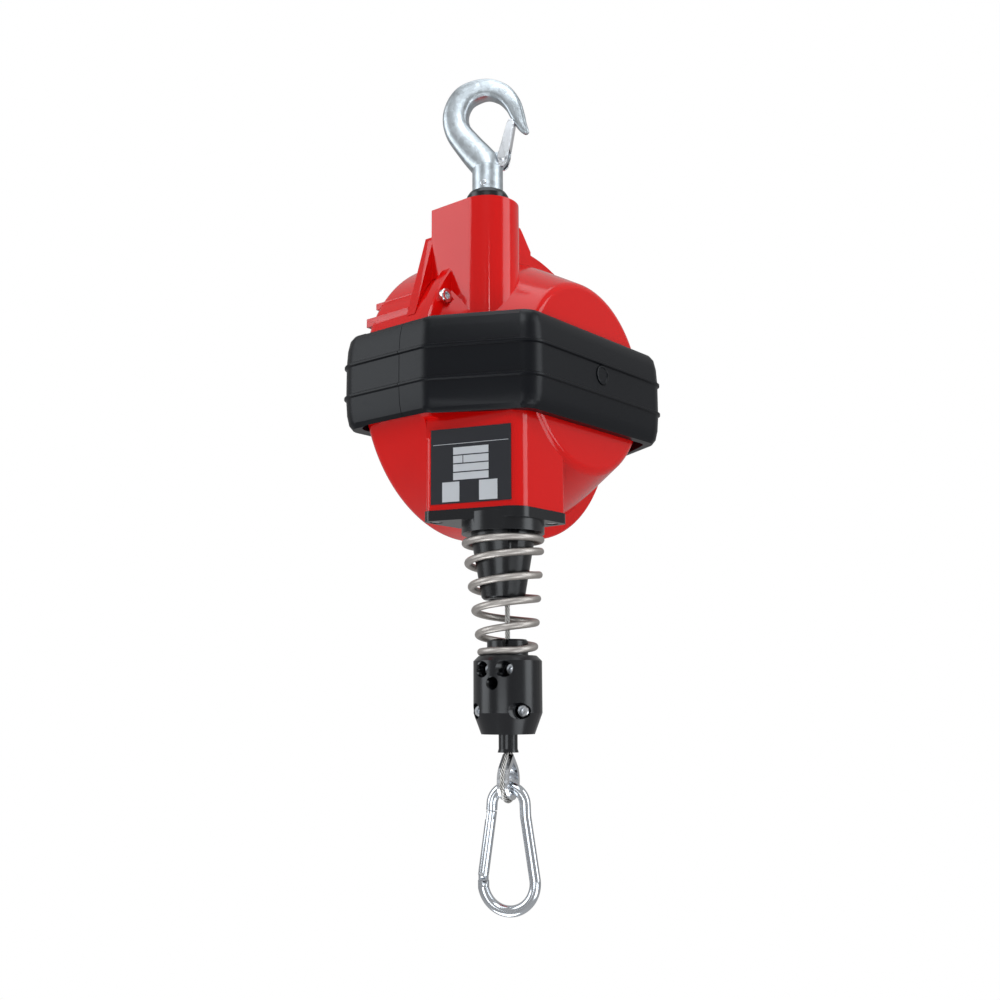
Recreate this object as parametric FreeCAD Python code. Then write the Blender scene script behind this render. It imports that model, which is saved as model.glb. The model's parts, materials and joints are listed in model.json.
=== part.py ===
"""Spring tool balancer: conical rope drum, spring casing, swivel hook, bumper belt and rope buffer.

Frame: origin where the top hook bears on what it hangs from, X along the drum axis towards the
small end of the casing, -Y towards the column side, Z up. All lengths are in millimetres.
"""
import FreeCAD
import Part
import math
import os

V = FreeCAD.Vector
os.makedirs("parts", exist_ok=True)

# ---------------------------------------------------------------- driving dimensions
RUN_GAP = 0.3            # clearance between pieces of different bodies
FIT_GAP = 0.15           # clearance between pieces that sit in each other in one body
SHAFT_GAP = 0.05         # radial running clearance of a shaft in its bore

# drum axis and casing
DRUM_Y = 53.0            # drum axis behind the hook and rope plane
DRUM_Z = -180.0          # drum axis below the bearing point of the hook
END_X = 38.0             # outer face of the small end of the cone
END_R = 60.0
CONE_X = -13.0           # where the cone meets the flange
CONE_STEP = 9.0          # the cone starts this far inside the flange
FLANGE_X = -20.5         # joint face of housing and spring cover
FLANGE_R = 97.0
CONE_R = FLANGE_R - CONE_STEP
COVER_STEP = 3.0         # the cover is this much smaller than the flange
COVER_X = -71.5          # closed back of the spring cover
COVER_R = FLANGE_R - COVER_STEP
WALL = 4.0
EDGE_R = 7.0             # rounded edges of the two closed ends

# joint screws of housing and cover, angles about the drum axis (0 to the back, 90 up)
SCREW_ANGLES = (28, 90, 151, 190, 270, 332)
SCREW_EDGE = 6.0         # screw centres inside the flange's edge
COVER_SCREW_R = FLANGE_R - SCREW_EDGE
COVER_SCREW_SIZE = 2.5
COVER_SCREW_HEAD_R = 4.5
COVER_SCREW_HEAD_H = 3.0
COVER_SCREW_L = 12.5
SHELVES = ((-145.0, -139.5, 1.5), (-131.5, -127.5, 0.8))   # bottom, top, how far they stand out

# column that carries the swivel and the rope guide
BOSS_R = 19.5
BOSS_TOP = -73.5
COLUMN_LEFT_X = -30.0
COLUMN_FOOT = -172.0
GUIDE_X = 11.0           # axis of the rope guide
BOX_SLANT = 18.0         # the label face turns this far from the drum axis, degrees
BOX_FACE = 22.0          # label face in front of the guide axis
BOX_LEFT = 43.0          # along the label face, from the foot of the guide axis
BOX_RIGHT_X = 36.0
BOX_BACK_Y = 30.0
BOX_CORNER_R = 12.0
BOX_BOTTOM = -269.0
BOX_TOP = -180.0
BOX_WALL = 5.0
RIB_T = 6.5              # gusset ribs beside and behind the boss

# bumper belt
BELT_Z = -182.5
BELT_HALF = 29.9
BELT_RIGHT_X = 48.3
BELT_LEFT_X = -85.8
BELT_FACET_X = -10.3     # where the slanted facets start
BELT_FACET_Y = 69.0      # half width of the right face, from the drum axis
BELT_PROUD = 2.6         # the belt stands this far outside the flange
BELT_HALF_Y = FLANGE_R + BELT_PROUD        # half width over the straight sides, from the drum axis
BELT_SIDE_T = 4.2
BELT_SEAT_GAP = 0.6      # belt to the closed back of the cover and to the small end
BELT_R = 15.0
BELT_SPLIT_X = -31.0
BELT_RIDGE = 1.2
BELT_HOLE_R = 4.2

# hook and swivel
HOOK_TURN = 28.0         # the hook's flat side faces this azimuth, degrees
SHANK_R = 9.7
SHANK_TOP = -47.0
BOW_ROOT = 8.0           # the bow starts this deep in the shank
BOW_INSET = 0.4          # and this much smaller than it
STEM_R = 7.5
BUSH_TOP = -65.0
BUSH_R = 13.2
BUSH_SLEEVE = 3.0        # wall of the bushing inside the boss
STEM_END = -124.0
NUT_R = 12.0
NUT_TOP = -110.0
NUT_H = 11.0
BEARING_H = 6.0
LATCH_W = 8.0
LATCH_PIVOT = (10.6, -41.0)
LATCH_TIP = (15.6, -14.6)
LATCH_PIN_R = 1.8
EAR_HALF = 1.5           # half thickness of the latch ear

# drum and rope
ROPE_R = 1.5
ROPE_X = 14.0            # the rope hangs here, at Y = 0
GROOVE_PITCH = 3.5
GROOVE_TAPER = 12.0 / 42.0
WOUND_TURNS = 8
DRUM_SMALL_X = 19.0
DRUM_LARGE_X = -18.5
DRUM_RIM = 5.5
HUB_R = 20.0
AXLE_R = 8.5
BEARING_R = 17.5
BEARING_W = 10.0

# spring case, worm wheel and worm
CASE_R = 62.0
CASE_X0 = -66.0
CASE_X1 = -33.0
CASE_WALL = 1.8
ARBOR_R = 15.0
SPRING_T = 2.6
SPRING_TURNS = 9
MODULE = 1.5
WHEEL_TEETH = 88
WHEEL_W = 5.0
WHEEL_X = -28.5
WORM_PITCH_R = 8.0

# rope guide
PLATE_T = 6.2
PLATE_RIM = 0.8
COLLAR_R = 24.7
COLLAR_TOP = -271.0
COLLAR_BOTTOM = -282.3
CONE_TOP_R = 19.0
CONE_TIP_R = 12.8
CONE_TIP_Z = -321.0
GUIDE_BORE_R = 5.0

# bumper spring
COIL_R = 1.9
COIL_TOP_R = 22.7
COIL_FOOT_R = 15.6
COIL_TURNS = 4.4
COIL_STEPS = 16          # sections per turn

# label place on the slanted face
LABEL_W = 51.0
LABEL_H = 45.0
LABEL_RIGHT = -14.0      # left of the guide axis, negative to its right
LABEL_TOP = -220.5
LABEL_T = 0.5

# buffer on the rope
BUFFER_R = 20.0
BUFFER_TOP = -354.0
BUFFER_TAPER = -386.7
BUFFER_BOTTOM = -398.7
BUFFER_FOOT_R = 15.5
BUFFER_CHAMFER = 3.0
NECK_R = 12.0
NECK_TOP = -344.6
BUFFER_TURN = 12.0       # the screws face this azimuth, degrees
HEAD_SEAT = 4.8          # seat of the screw heads in front of the buffer's axis
HEAD_R = 3.5
HEAD_H = 4.0
HEAD_HOLE_R = 4.7
SCREW_R = 2.0
UPPER_SCREWS = (7.0, -362.0)
LOWER_SCREWS = (13.9, -385.5)
SIGHT_HOLE_R = 3.8
SIGHT_HOLE_Z = -370.0
TUBE_R = 5.5
TUBE_BORE_R = 3.9
TUBE_BOTTOM = -409.0
STRAND_GAP = 1.75        # each strand from the rope's axis, inside buffer and sleeve

# thimble and carabiner
EYE_R = 8.0
EYE_Z = -424.7
THIMBLE_T = 1.2
THIMBLE_W = 6.4
WIRE_R = 3.2
CARABINER_TURN = 20.0
CARABINER_TOP_R = 10.0
CARABINER_FOOT_R = 15.6
THIMBLE_TURN = CARABINER_TURN + 90.0      # the eye lies across the carabiner's plane
INNER_BEND = CARABINER_TOP_R - WIRE_R
BEND_SAG = INNER_BEND - math.sqrt(INNER_BEND ** 2 - (THIMBLE_W / 2 + 0.2) ** 2)
CARABINER_TOP_Z = EYE_Z - EYE_R + RUN_GAP + WIRE_R + BEND_SAG
HINGE_DROP = 12.0        # the bent wire ends this far round the foot bend, degrees
CARABINER_L = 74.7
GATE_TOP_DROP = 16.0
GATE_FOOT_DROP = 52.0
GATE_PIN_R = 1.1


# ---------------------------------------------------------------- helpers
def turn_z(shape, degrees, x=0.0, y=0.0):
    """Return a copy turned about the vertical line through (x, y)."""
    copy = shape.copy()
    copy.rotate(V(x, y, 0), V(0, 0, 1), degrees)
    return copy


def box(x0, x1, y0, y1, z0, z1):
    return Part.makeBox(x1 - x0, y1 - y0, z1 - z0, V(x0, y0, z0))


def post(x, y, z0, z1, r):
    """Vertical cylinder."""
    return Part.makeCylinder(r, z1 - z0, V(x, y, z0), V(0, 0, 1))


def drum_disc(x0, x1, r):
    """Cylinder about the drum axis."""
    return Part.makeCylinder(r, x1 - x0, V(x0, DRUM_Y, DRUM_Z), V(1, 0, 0))


def rod(start, end, r):
    """Cylinder from one point to another."""
    along = end - start
    return Part.makeCylinder(r, along.Length, start, along)


def prism(points, z0, z1):
    """Closed polygon in plan, extruded upwards."""
    corners = [V(x, y, z0) for x, y in points]
    return Part.Face(Part.makePolygon(corners + corners[:1])).extrude(V(0, 0, z1 - z0))


def side_prism(points, x0, x1):
    """Closed polygon of (y, z) points, extruded along X."""
    corners = [V(x0, y, z) for y, z in points]
    return Part.Face(Part.makePolygon(corners + corners[:1])).extrude(V(x1 - x0, 0, 0))


def spin_x(profile):
    """Revolve (x, r) points about the drum axis."""
    corners = [V(x, DRUM_Y, DRUM_Z + r) for x, r in profile]
    face = Part.Face(Part.makePolygon(corners + corners[:1]))
    return face.revolve(V(0, DRUM_Y, DRUM_Z), V(1, 0, 0), 360)


def spin_z(x, profile):
    """Revolve (r, z) points about the vertical line at (x, 0)."""
    corners = [V(x + r, 0, z) for r, z in profile]
    face = Part.Face(Part.makePolygon(corners + corners[:1]))
    return face.revolve(V(x, 0, 0), V(0, 0, 1), 360)


def corner_arcs(points, radii, inset=0.0):
    """Tangent points and middle of each rounded corner of a polygon, moved inwards by inset."""
    count = len(points)
    area = sum(points[i][0] * points[(i + 1) % count][1] - points[(i + 1) % count][0] * points[i][1]
               for i in range(count))
    side = 1.0 if area > 0 else -1.0
    lines = []
    for i in range(count):
        start = V(*points[i], 0)
        along = (V(*points[(i + 1) % count], 0) - start).normalize()
        normal = V(-along.y, along.x, 0) * side
        lines.append((start + normal * inset, along, normal))
    arcs = []
    for i in range(count):
        start_a, along_a, normal_a = lines[i - 1]
        start_b, along_b, normal_b = lines[i]
        gap = start_b - start_a
        cross = along_a.x * along_b.y - along_a.y * along_b.x
        reach = (gap.x * along_b.y - gap.y * along_b.x) / cross
        corner = start_a + along_a * reach
        r = max(radii[i] - inset, 0.5)
        half = along_a.getAngle(along_b) / 2
        cut = r * math.tan(half)
        first = corner - along_a * cut
        last = corner + along_b * cut
        centre = first + normal_a * r
        middle = centre + (corner - centre).normalize() * r
        arcs.append((first, middle, last))
    return arcs


def rounded_wire(points, radii, z, inset=0.0):
    """Closed wire of straight sides and round corners at height z."""
    arcs = [[p + V(0, 0, z) for p in arc] for arc in corner_arcs(points, radii, inset)]
    edges = []
    for i, (first, middle, last) in enumerate(arcs):
        edges.append(Part.Arc(first, middle, last).toShape())
        edges.append(Part.LineSegment(last, arcs[(i + 1) % len(arcs)][0]).toShape())
    return Part.Wire(edges)


def rounded_prism(points, radii, z0, z1, inset=0.0):
    return Part.Face(rounded_wire(points, radii, z0, inset)).extrude(V(0, 0, z1 - z0))


def ellipse_wire(centre, along, depth, half_wide, half_deep):
    """Ellipse across the direction along, with its deep axis given."""
    wide = along.cross(depth).normalize()
    if half_wide >= half_deep:
        curve = Part.Ellipse(centre + wide * half_wide, centre + depth * half_deep, centre)
    else:
        curve = Part.Ellipse(centre + depth * half_deep, centre + wide * half_wide, centre)
    return Part.Wire(curve.toShape())


def ring_wire(r, centre, heading):
    """Circle across a direction, always started on the same side, for lofts."""
    n = V(heading).normalize()
    side = V(0, 0, 1).cross(n).normalize()
    up = n.cross(side)
    frame = FreeCAD.Matrix(side.x, up.x, n.x, centre.x, side.y, up.y, n.y, centre.y,
                           side.z, up.z, n.z, centre.z, 0, 0, 0, 1)
    ring = Part.Wire(Part.makeCircle(r))
    ring.Placement = FreeCAD.Placement(frame)
    return ring


def save(name, shape):
    """Write one node and print its size."""
    if shape.ShapeType == "Compound" and len(shape.Solids) == 1:
        shape = shape.Solids[0]
    shape.exportStep("parts/%s.step" % name)
    print("%-22s solids %2d  volume %9.1f  valid %s" % (name, len(shape.Solids), shape.Volume, shape.isValid()))


def group(shapes):
    return shapes[0] if len(shapes) == 1 else Part.makeCompound(shapes)


# ---------------------------------------------------------------- housing
SLANT = math.radians(BOX_SLANT)
FACE_OUT = V(math.sin(SLANT), -math.cos(SLANT), 0)
FACE_LEFT = V(-math.cos(SLANT), -math.sin(SLANT), 0)


def on_face(left, out=0.0):
    """Point of the label face, measured left of the guide axis and outwards."""
    return V(GUIDE_X, 0, 0) + FACE_OUT * (BOX_FACE + out) + FACE_LEFT * left


def box_outline():
    """Plan of the rope guide box: slanted label face, right side, back and left side."""
    left = on_face(BOX_LEFT)
    right = on_face(-(BOX_RIGHT_X - on_face(0).x) / math.cos(SLANT))
    return [(left.x, left.y), (right.x, right.y), (BOX_RIGHT_X, BOX_BACK_Y), (left.x, BOX_BACK_Y)]


BOX_RADII = [4.0, BOX_CORNER_R, 4.0, 4.0]


def belt_outline(right_x, left_x, facet_x, facet_y, half_y):
    """Plan of the belt: straight sides, two slanted facets and the face over the small end."""
    corners = [(right_x, -facet_y), (facet_x, -half_y), (left_x, -half_y), (left_x, half_y), (facet_x, half_y),
               (right_x, facet_y)]
    return [(x, DRUM_Y + y) for x, y in corners]


def around_drum(x, r, degrees):
    """Point at a radius from the drum axis; 0 degrees points to the back, 90 up."""
    turn = math.radians(degrees)
    return V(x, DRUM_Y + r * math.cos(turn), DRUM_Z + r * math.sin(turn))


def cone_radius(x):
    return CONE_R + (x - CONE_X) * (END_R - CONE_R) / (END_X - CONE_X)


def casing_outside():
    """Cone with rounded small end, standing on its flange."""
    body = spin_x([(FLANGE_X, 0), (FLANGE_X, FLANGE_R), (CONE_X - 1, FLANGE_R), (CONE_X, FLANGE_R - 1),
                   (CONE_X, CONE_R), (END_X, END_R), (END_X, 0)])
    rims = [e for e in body.Edges if abs(e.BoundBox.XMin - END_X) < 0.01 and e.BoundBox.YLength > END_R]
    return body.makeFillet(EDGE_R, rims)


def casing_inside():
    lip = END_X - WALL
    return spin_x([(FLANGE_X - 1, 0), (FLANGE_X - 1, CONE_R - WALL), (CONE_X, CONE_R - WALL),
                   (lip, cone_radius(lip) - WALL), (lip, 0)])


def tangent_from(y, z, r):
    """Where the line from (y, z) touches the circle of radius r about the drum axis, column side."""
    dy = y - DRUM_Y
    dz = z - DRUM_Z
    away = math.hypot(dy, dz)
    turn = math.atan2(dz, dy) + math.acos(r / away)
    return DRUM_Y + r * math.cos(turn), DRUM_Z + r * math.sin(turn)


def upper_column():
    """Swivel boss with the flat web beside it, and the two gusset ribs."""
    boss = post(0, 0, COLUMN_FOOT, BOSS_TOP, BOSS_R)
    web = box(COLUMN_LEFT_X, 0, -BOSS_R, BOSS_R - 6, COLUMN_FOOT, BOSS_TOP)
    rib_y, rib_z = -BOSS_R + 1.5, BOSS_TOP - 17
    foot_y, foot_z = tangent_from(rib_y, rib_z, COVER_R)
    inner = 13.0
    left_rib = side_prism([(rib_y, rib_z), (foot_y, foot_z), (foot_y + 6, foot_z - 22), (foot_y + 20, foot_z - 22),
                           (rib_y + inner, rib_z)], COLUMN_LEFT_X - RIB_T, COLUMN_LEFT_X + 0.5)
    back_rib = side_prism([(0, BOSS_TOP - 1), (37, BOSS_TOP - 1), (39, BOSS_TOP - 3), (60, -103), (60, -120),
                           (0, -120)], -10.0, -10.0 + RIB_T)
    return [boss, web, left_rib, back_rib]


def main_housing():
    """Cast cone casing with its column: swivel boss on top and rope guide box below."""
    body = casing_outside()
    for piece in upper_column():
        body = body.fuse(piece)
    body = body.fuse(rounded_prism(box_outline(), BOX_RADII, BOX_BOTTOM, BOX_TOP))
    # flat on the flange where it would stand out of the label face
    flat = [on_face(BOX_LEFT + 3), on_face(BOX_LEFT - 23), on_face(BOX_LEFT - 23, 12), on_face(BOX_LEFT + 3, 12)]
    body = body.cut(prism([(p.x, p.y) for p in flat], BOX_BOTTOM, BELT_Z - BELT_HALF - 0.5))
    # room for the spring cover behind the joint face, then the hollow inside
    cover_room = drum_disc(COVER_X - 1, FLANGE_X, COVER_R + RUN_GAP)
    body = body.cut(cover_room)
    body = body.cut(casing_inside())
    shaft = rounded_prism(box_outline(), BOX_RADII, BOX_BOTTOM - 1, BOX_TOP - BOX_WALL, BOX_WALL)
    body = body.cut(shaft.common(box(FLANGE_X + WALL, BOX_RIGHT_X, -60, BOX_BACK_Y, BOX_BOTTOM - 1, BOX_TOP)))
    # swivel bore: bushing seat on top, nut chamber below
    body = body.cut(post(0, 0, BOSS_TOP - 40, BOSS_TOP + 1, STEM_R + BUSH_SLEEVE + FIT_GAP))
    body = body.cut(post(0, 0, COLUMN_FOOT - 30, NUT_TOP + BEARING_H, NUT_R + 3))
    for degrees in SCREW_ANGLES:
        hole = around_drum(FLANGE_X - 1, COVER_SCREW_R, degrees)
        body = body.cut(Part.makeCylinder(COVER_SCREW_SIZE + 0.2, 30, hole, V(1, 0, 0)))
        head = around_drum(CONE_X, COVER_SCREW_R, degrees)
        body = body.cut(Part.makeCylinder(COVER_SCREW_HEAD_R + 0.6, 24, head, V(1, 0, 0)))
    body = body.cut(drum_disc(END_X - WALL - 1, END_X + 1, AXLE_R + FIT_GAP))
    for x, y in guide_screw_places():
        body = body.fuse(post(x, y, BOX_BOTTOM, BOX_BOTTOM + 14, 4.2).common(
            rounded_prism(box_outline(), BOX_RADII, BOX_BOTTOM, BOX_BOTTOM + 14)))
        body = body.cut(post(x, y, BOX_BOTTOM - 1, BOX_BOTTOM + 10, SCREW_R + FIT_GAP))
    return body


def spring_cover():
    """Deep round cover of the mainspring, with the two shelves above the belt."""
    body = drum_disc(COVER_X, FLANGE_X - FIT_GAP, COVER_R)
    rims = [e for e in body.Edges if abs(e.BoundBox.XMax - COVER_X) < 0.01]
    body = body.makeFillet(EDGE_R, rims)
    for low, high, out in SHELVES:
        half = casing_half_width(high, COVER_R) + out
        shelf = box(COVER_X - out, FLANGE_X - 10, DRUM_Y - half, DRUM_Y + half, low, high)
        rib_room = box(COLUMN_LEFT_X - RIB_T - RUN_GAP, FLANGE_X, -60, 10, low - 1, high + 1)
        body = body.fuse(shelf.cut(rib_room))
    body = body.cut(drum_disc(COVER_X + WALL, FLANGE_X + 1, COVER_R - WALL))
    body = body.fuse(worm_bosses())
    outside = drum_disc(COVER_X, FLANGE_X - FIT_GAP, COVER_R - 1)
    for degrees in SCREW_ANGLES:
        pad = Part.makeCylinder(6.0, 14, around_drum(FLANGE_X - 14 - FIT_GAP, COVER_SCREW_R - 2, degrees), V(1, 0, 0))
        body = body.fuse(pad.common(outside))
        hole = around_drum(FLANGE_X - 12, COVER_SCREW_R, degrees)
        body = body.cut(Part.makeCylinder(COVER_SCREW_SIZE + 0.05, 13, hole, V(1, 0, 0)))
    body = body.fuse(drum_disc(COVER_X + 1, COVER_X + WALL + 1.2, AXLE_R + 6))
    body = body.cut(drum_disc(COVER_X + 2, COVER_X + WALL + 2, AXLE_R + FIT_GAP))
    return body.cut(worm_bore())


# ---------------------------------------------------------------- worm drive
WHEEL_PITCH_R = MODULE * WHEEL_TEETH / 2
WORM_Y = DRUM_Y + WHEEL_PITCH_R + WORM_PITCH_R + 0.1
WORM_HALF = 11.0
WORM_NECK_R = 4.0


def casing_half_height(y, r):
    return math.sqrt(r ** 2 - (y - DRUM_Y) ** 2)


def casing_half_width(z, r):
    return math.sqrt(r ** 2 - (z - DRUM_Z) ** 2)


def worm_bosses():
    """Two bearing bosses for the worm, at the bottom wall and above the thread."""
    wall_z = DRUM_Z - casing_half_height(WORM_Y, COVER_R - 2)
    upper = post(WHEEL_X, WORM_Y, DRUM_Z + WORM_HALF + 1, DRUM_Z + WORM_HALF + 9, WORM_NECK_R + 3)
    upper = upper.fuse(box(WHEEL_X - 7, WHEEL_X + 7, WORM_Y, DRUM_Y + COVER_R - 2,
                           DRUM_Z + WORM_HALF + 1, DRUM_Z + WORM_HALF + 9))
    lower = post(WHEEL_X, WORM_Y, wall_z - 2, DRUM_Z - WORM_HALF - 1, WORM_NECK_R + 3)
    inside = drum_disc(COVER_X, FLANGE_X - 0.5, COVER_R + 4)
    return upper.fuse(lower).common(inside)


def worm_bore():
    wall_z = DRUM_Z - casing_half_height(WORM_Y, COVER_R)
    return post(WHEEL_X, WORM_Y, wall_z - 12, DRUM_Z + WORM_HALF + 7, WORM_NECK_R + SHAFT_GAP)


def worm_wheel():
    """Toothed ring on the spring case: straight teeth with rounded-off trapezoid flanks."""
    tip_r = WHEEL_PITCH_R + 0.8 * MODULE
    root_r = WHEEL_PITCH_R - 1.0 * MODULE
    pitch = 2 * math.pi / WHEEL_TEETH
    points = []
    for i in range(WHEEL_TEETH):
        for share, r in ((-0.36, root_r), (-0.11, tip_r), (0.11, tip_r), (0.36, root_r)):
            turn = (i + 0.5 + share) * pitch
            points.append((DRUM_Y + r * math.cos(turn), DRUM_Z + r * math.sin(turn)))
    blank = side_prism(points, WHEEL_X - WHEEL_W / 2, WHEEL_X + WHEEL_W / 2)
    return blank.cut(drum_disc(WHEEL_X - WHEEL_W, WHEEL_X + WHEEL_W, ARBOR_R + 8))


def adjusting_worm():
    """Single-start worm with its two journals and a hexagon socket at the lower end."""
    lead = math.pi * MODULE
    root_r = WORM_PITCH_R - 1.0 * MODULE
    tip_r = WORM_PITCH_R + 0.7 * MODULE
    core = post(0, 0, -WORM_HALF, WORM_HALF, root_r)
    turns = int(2 * (WORM_HALF - 1.5) / lead)
    height = turns * lead
    helix = Part.makeHelix(lead, height, root_r)
    root_w = 0.30 * lead
    tip_w = 0.10 * lead
    profile = Part.makePolygon([V(root_r - 0.4, 0, -root_w), V(tip_r, 0, -tip_w), V(tip_r, 0, tip_w),
                                V(root_r - 0.4, 0, root_w), V(root_r - 0.4, 0, -root_w)])
    thread = Part.Wire(helix).makePipeShell([profile], True, True)
    # the wheel shows a gap towards the worm at rest, so a thread crest faces it at mid height
    thread.translate(V(0, 0, -height / 2))
    thread = turn_z(thread, 270.0 + 180.0 * (turns % 2))
    body = core.fuse(thread)
    wall_low = -casing_half_height(WORM_Y, COVER_R) + 1.0
    body = body.fuse(post(0, 0, WORM_HALF, WORM_HALF + 6.5, WORM_NECK_R))
    body = body.fuse(post(0, 0, wall_low, -WORM_HALF, WORM_NECK_R))
    socket = Part.Face(Part.makePolygon([V(2.4 * math.cos(math.radians(60 * i)), 2.4 * math.sin(math.radians(60 * i)),
                                           wall_low - 1) for i in range(7)])).extrude(V(0, 0, 6))
    body = body.cut(socket)
    body.translate(V(WHEEL_X, WORM_Y, DRUM_Z))
    return body


# ---------------------------------------------------------------- axle, drum and mainspring
def main_axle():
    """Fixed axle from the cover's hub to the small end of the casing."""
    axle = drum_disc(COVER_X + 2 + FIT_GAP, END_X, AXLE_R)
    socket = drum_disc(END_X - 3, END_X + 2, 3.0)
    return axle.cut(socket)


def drum_bearing(x0):
    """Ball bearing drawn as its outer envelope with a race groove at each face."""
    body = drum_disc(x0, x0 + BEARING_W, BEARING_R)
    body = body.cut(drum_disc(x0 - 1, x0 + BEARING_W + 1, AXLE_R + SHAFT_GAP))
    for face in (x0 - 1, x0 + BEARING_W - 1):
        ring = drum_disc(face, face + 2, BEARING_R - 2.6).cut(drum_disc(face, face + 2, AXLE_R + 2.6))
        body = body.cut(ring)
    return body


def groove_radius(x):
    """Radius of the rope's centre line on the conical drum."""
    return DRUM_Y + (ROPE_X - x) * GROOVE_TAPER


DRUM_BEARING_X = (DRUM_LARGE_X + 1.0, DRUM_SMALL_X - BEARING_W - 1.0)


def rope_seat(x):
    """Radius of the drum's seat under the rope."""
    return groove_radius(x) - ROPE_R - 0.1


WOUND_X = ROPE_X - (WOUND_TURNS - 0.5) * GROOVE_PITCH


def rope_drum():
    """Conical rope drum: rim with two flanges, thin web with round windows, hub with bearing seats."""
    small = ROPE_X + GROOVE_PITCH / 2 + 0.2
    large = WOUND_X - 0.3
    web_x = -2.0
    outer = [(DRUM_LARGE_X, rope_seat(large) + 8), (large, rope_seat(large) + 8), (large, rope_seat(large)),
             (small, rope_seat(small)), (small, rope_seat(small) + 6), (DRUM_SMALL_X, rope_seat(small) + 6)]
    inner = [(DRUM_SMALL_X, rope_seat(small) - DRUM_RIM), (web_x + 5, rope_seat(web_x + 5) - DRUM_RIM), (web_x + 5, HUB_R),
             (DRUM_SMALL_X, HUB_R), (DRUM_SMALL_X, AXLE_R + 2), (DRUM_LARGE_X, AXLE_R + 2), (DRUM_LARGE_X, HUB_R),
             (web_x, HUB_R), (web_x, rope_seat(web_x) - DRUM_RIM), (DRUM_LARGE_X, rope_seat(DRUM_LARGE_X) - DRUM_RIM)]
    body = spin_x(outer + inner)
    first, second = DRUM_BEARING_X
    body = body.cut(drum_disc(DRUM_LARGE_X - 1, first + BEARING_W + 0.05, BEARING_R + 0.02))
    body = body.cut(drum_disc(second - 0.05, DRUM_SMALL_X + 1, BEARING_R + 0.02))
    for i in range(5):
        window = Part.makeCylinder(8, 12, around_drum(web_x - 3, 34, 72 * i + 20), V(1, 0, 0))
        body = body.cut(window)
    return body


def wound_rope():
    """Turns of rope that lie side by side on the drum when the rope is wound in."""
    top = []
    for i in range(WOUND_TURNS - 1, -1, -1):
        x = ROPE_X - i * GROOVE_PITCH
        r = groove_radius(x)
        top += [(x - GROOVE_PITCH / 2 + 0.2, r + 0.2), (x, r + ROPE_R)]
    end = ROPE_X + GROOVE_PITCH / 2
    return spin_x(top + [(end, groove_radius(end) + 0.2), (end, rope_seat(end) + 0.05), (WOUND_X, rope_seat(WOUND_X) + 0.05)])


def spring_arbor():
    """Sleeve that turns with the drum and carries the inner end of the mainspring."""
    body = drum_disc(CASE_X0 + CASE_WALL + 1, DRUM_LARGE_X, ARBOR_R)
    body = body.fuse(drum_disc(DRUM_LARGE_X - 2.5, DRUM_LARGE_X, HUB_R - 0.5))
    body = body.cut(drum_disc(CASE_X0, DRUM_LARGE_X + 1, AXLE_R + SHAFT_GAP))
    keyway = box(CASE_X0, CASE_X1 + 2, DRUM_Y - 2, DRUM_Y + 2, DRUM_Z + ARBOR_R - 2.5, DRUM_Z + ARBOR_R + 1)
    return body.cut(keyway)


def spring_case():
    """Round can around the mainspring, open towards the worm wheel that closes it."""
    body = drum_disc(CASE_X0, CASE_X1, CASE_R)
    body = body.cut(drum_disc(CASE_X0 + CASE_WALL, CASE_X1 + 1, CASE_R - CASE_WALL))
    body = body.cut(drum_disc(CASE_X0 - 1, CASE_X1, AXLE_R + SHAFT_GAP))
    slot = box(CASE_X0 + 5, CASE_X1 - 5, DRUM_Y - 4, DRUM_Y + 4, DRUM_Z - CASE_R - 1, DRUM_Z - CASE_R + CASE_WALL + 1)
    return body.cut(slot)


def case_lid():
    """Plate that closes the can and carries the worm wheel."""
    lid = drum_disc(CASE_X1, WHEEL_X - WHEEL_W / 2, CASE_R)
    return lid.cut(drum_disc(CASE_X1 - 1, WHEEL_X, ARBOR_R + SHAFT_GAP))


def mainspring():
    """Flat spiral spring, inner end at the arbor and outer end at the can's slot."""
    start_r = ARBOR_R + 1.0
    end_r = CASE_R - CASE_WALL - 0.5 - SPRING_T
    steps = 24 * SPRING_TURNS
    inner = []
    outer = []
    for i in range(steps + 1):
        turn = 2 * math.pi * i / 24
        r = start_r + (end_r - start_r) * i / steps
        inner.append((DRUM_Y + r * math.cos(turn), DRUM_Z + r * math.sin(turn)))
        r += SPRING_T
        outer.append((DRUM_Y + r * math.cos(turn), DRUM_Z + r * math.sin(turn)))
    return side_prism(inner + outer[::-1], CASE_X0 + CASE_WALL + 0.5, CASE_X1 - 0.5)


# ---------------------------------------------------------------- belt
def belt_skin():
    """Outer form of the belt: a ring that bulges at mid height and carries two ridges."""
    half = BELT_HALF
    ridge = BELT_HALF / 3
    levels = [(-half, 4.6), (-half + 3, 2.2), (-half + 9, 0.8)]
    for z in (-ridge, ridge):
        levels += [(z - 1.3, 0.1), (z - 0.6, -BELT_RIDGE), (z + 0.6, -BELT_RIDGE), (z + 1.3, 0.1)]
    levels += [(half - 9, 0.8), (half - 3, 2.2), (half, 4.6)]
    outline = belt_outline(BELT_RIGHT_X, BELT_LEFT_X, BELT_FACET_X, BELT_FACET_Y, BELT_HALF_Y)
    wires = [rounded_wire(outline, [BELT_R] * 6, BELT_Z + z, inset) for z, inset in levels]
    return Part.makeLoft(wires, True, True)


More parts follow.
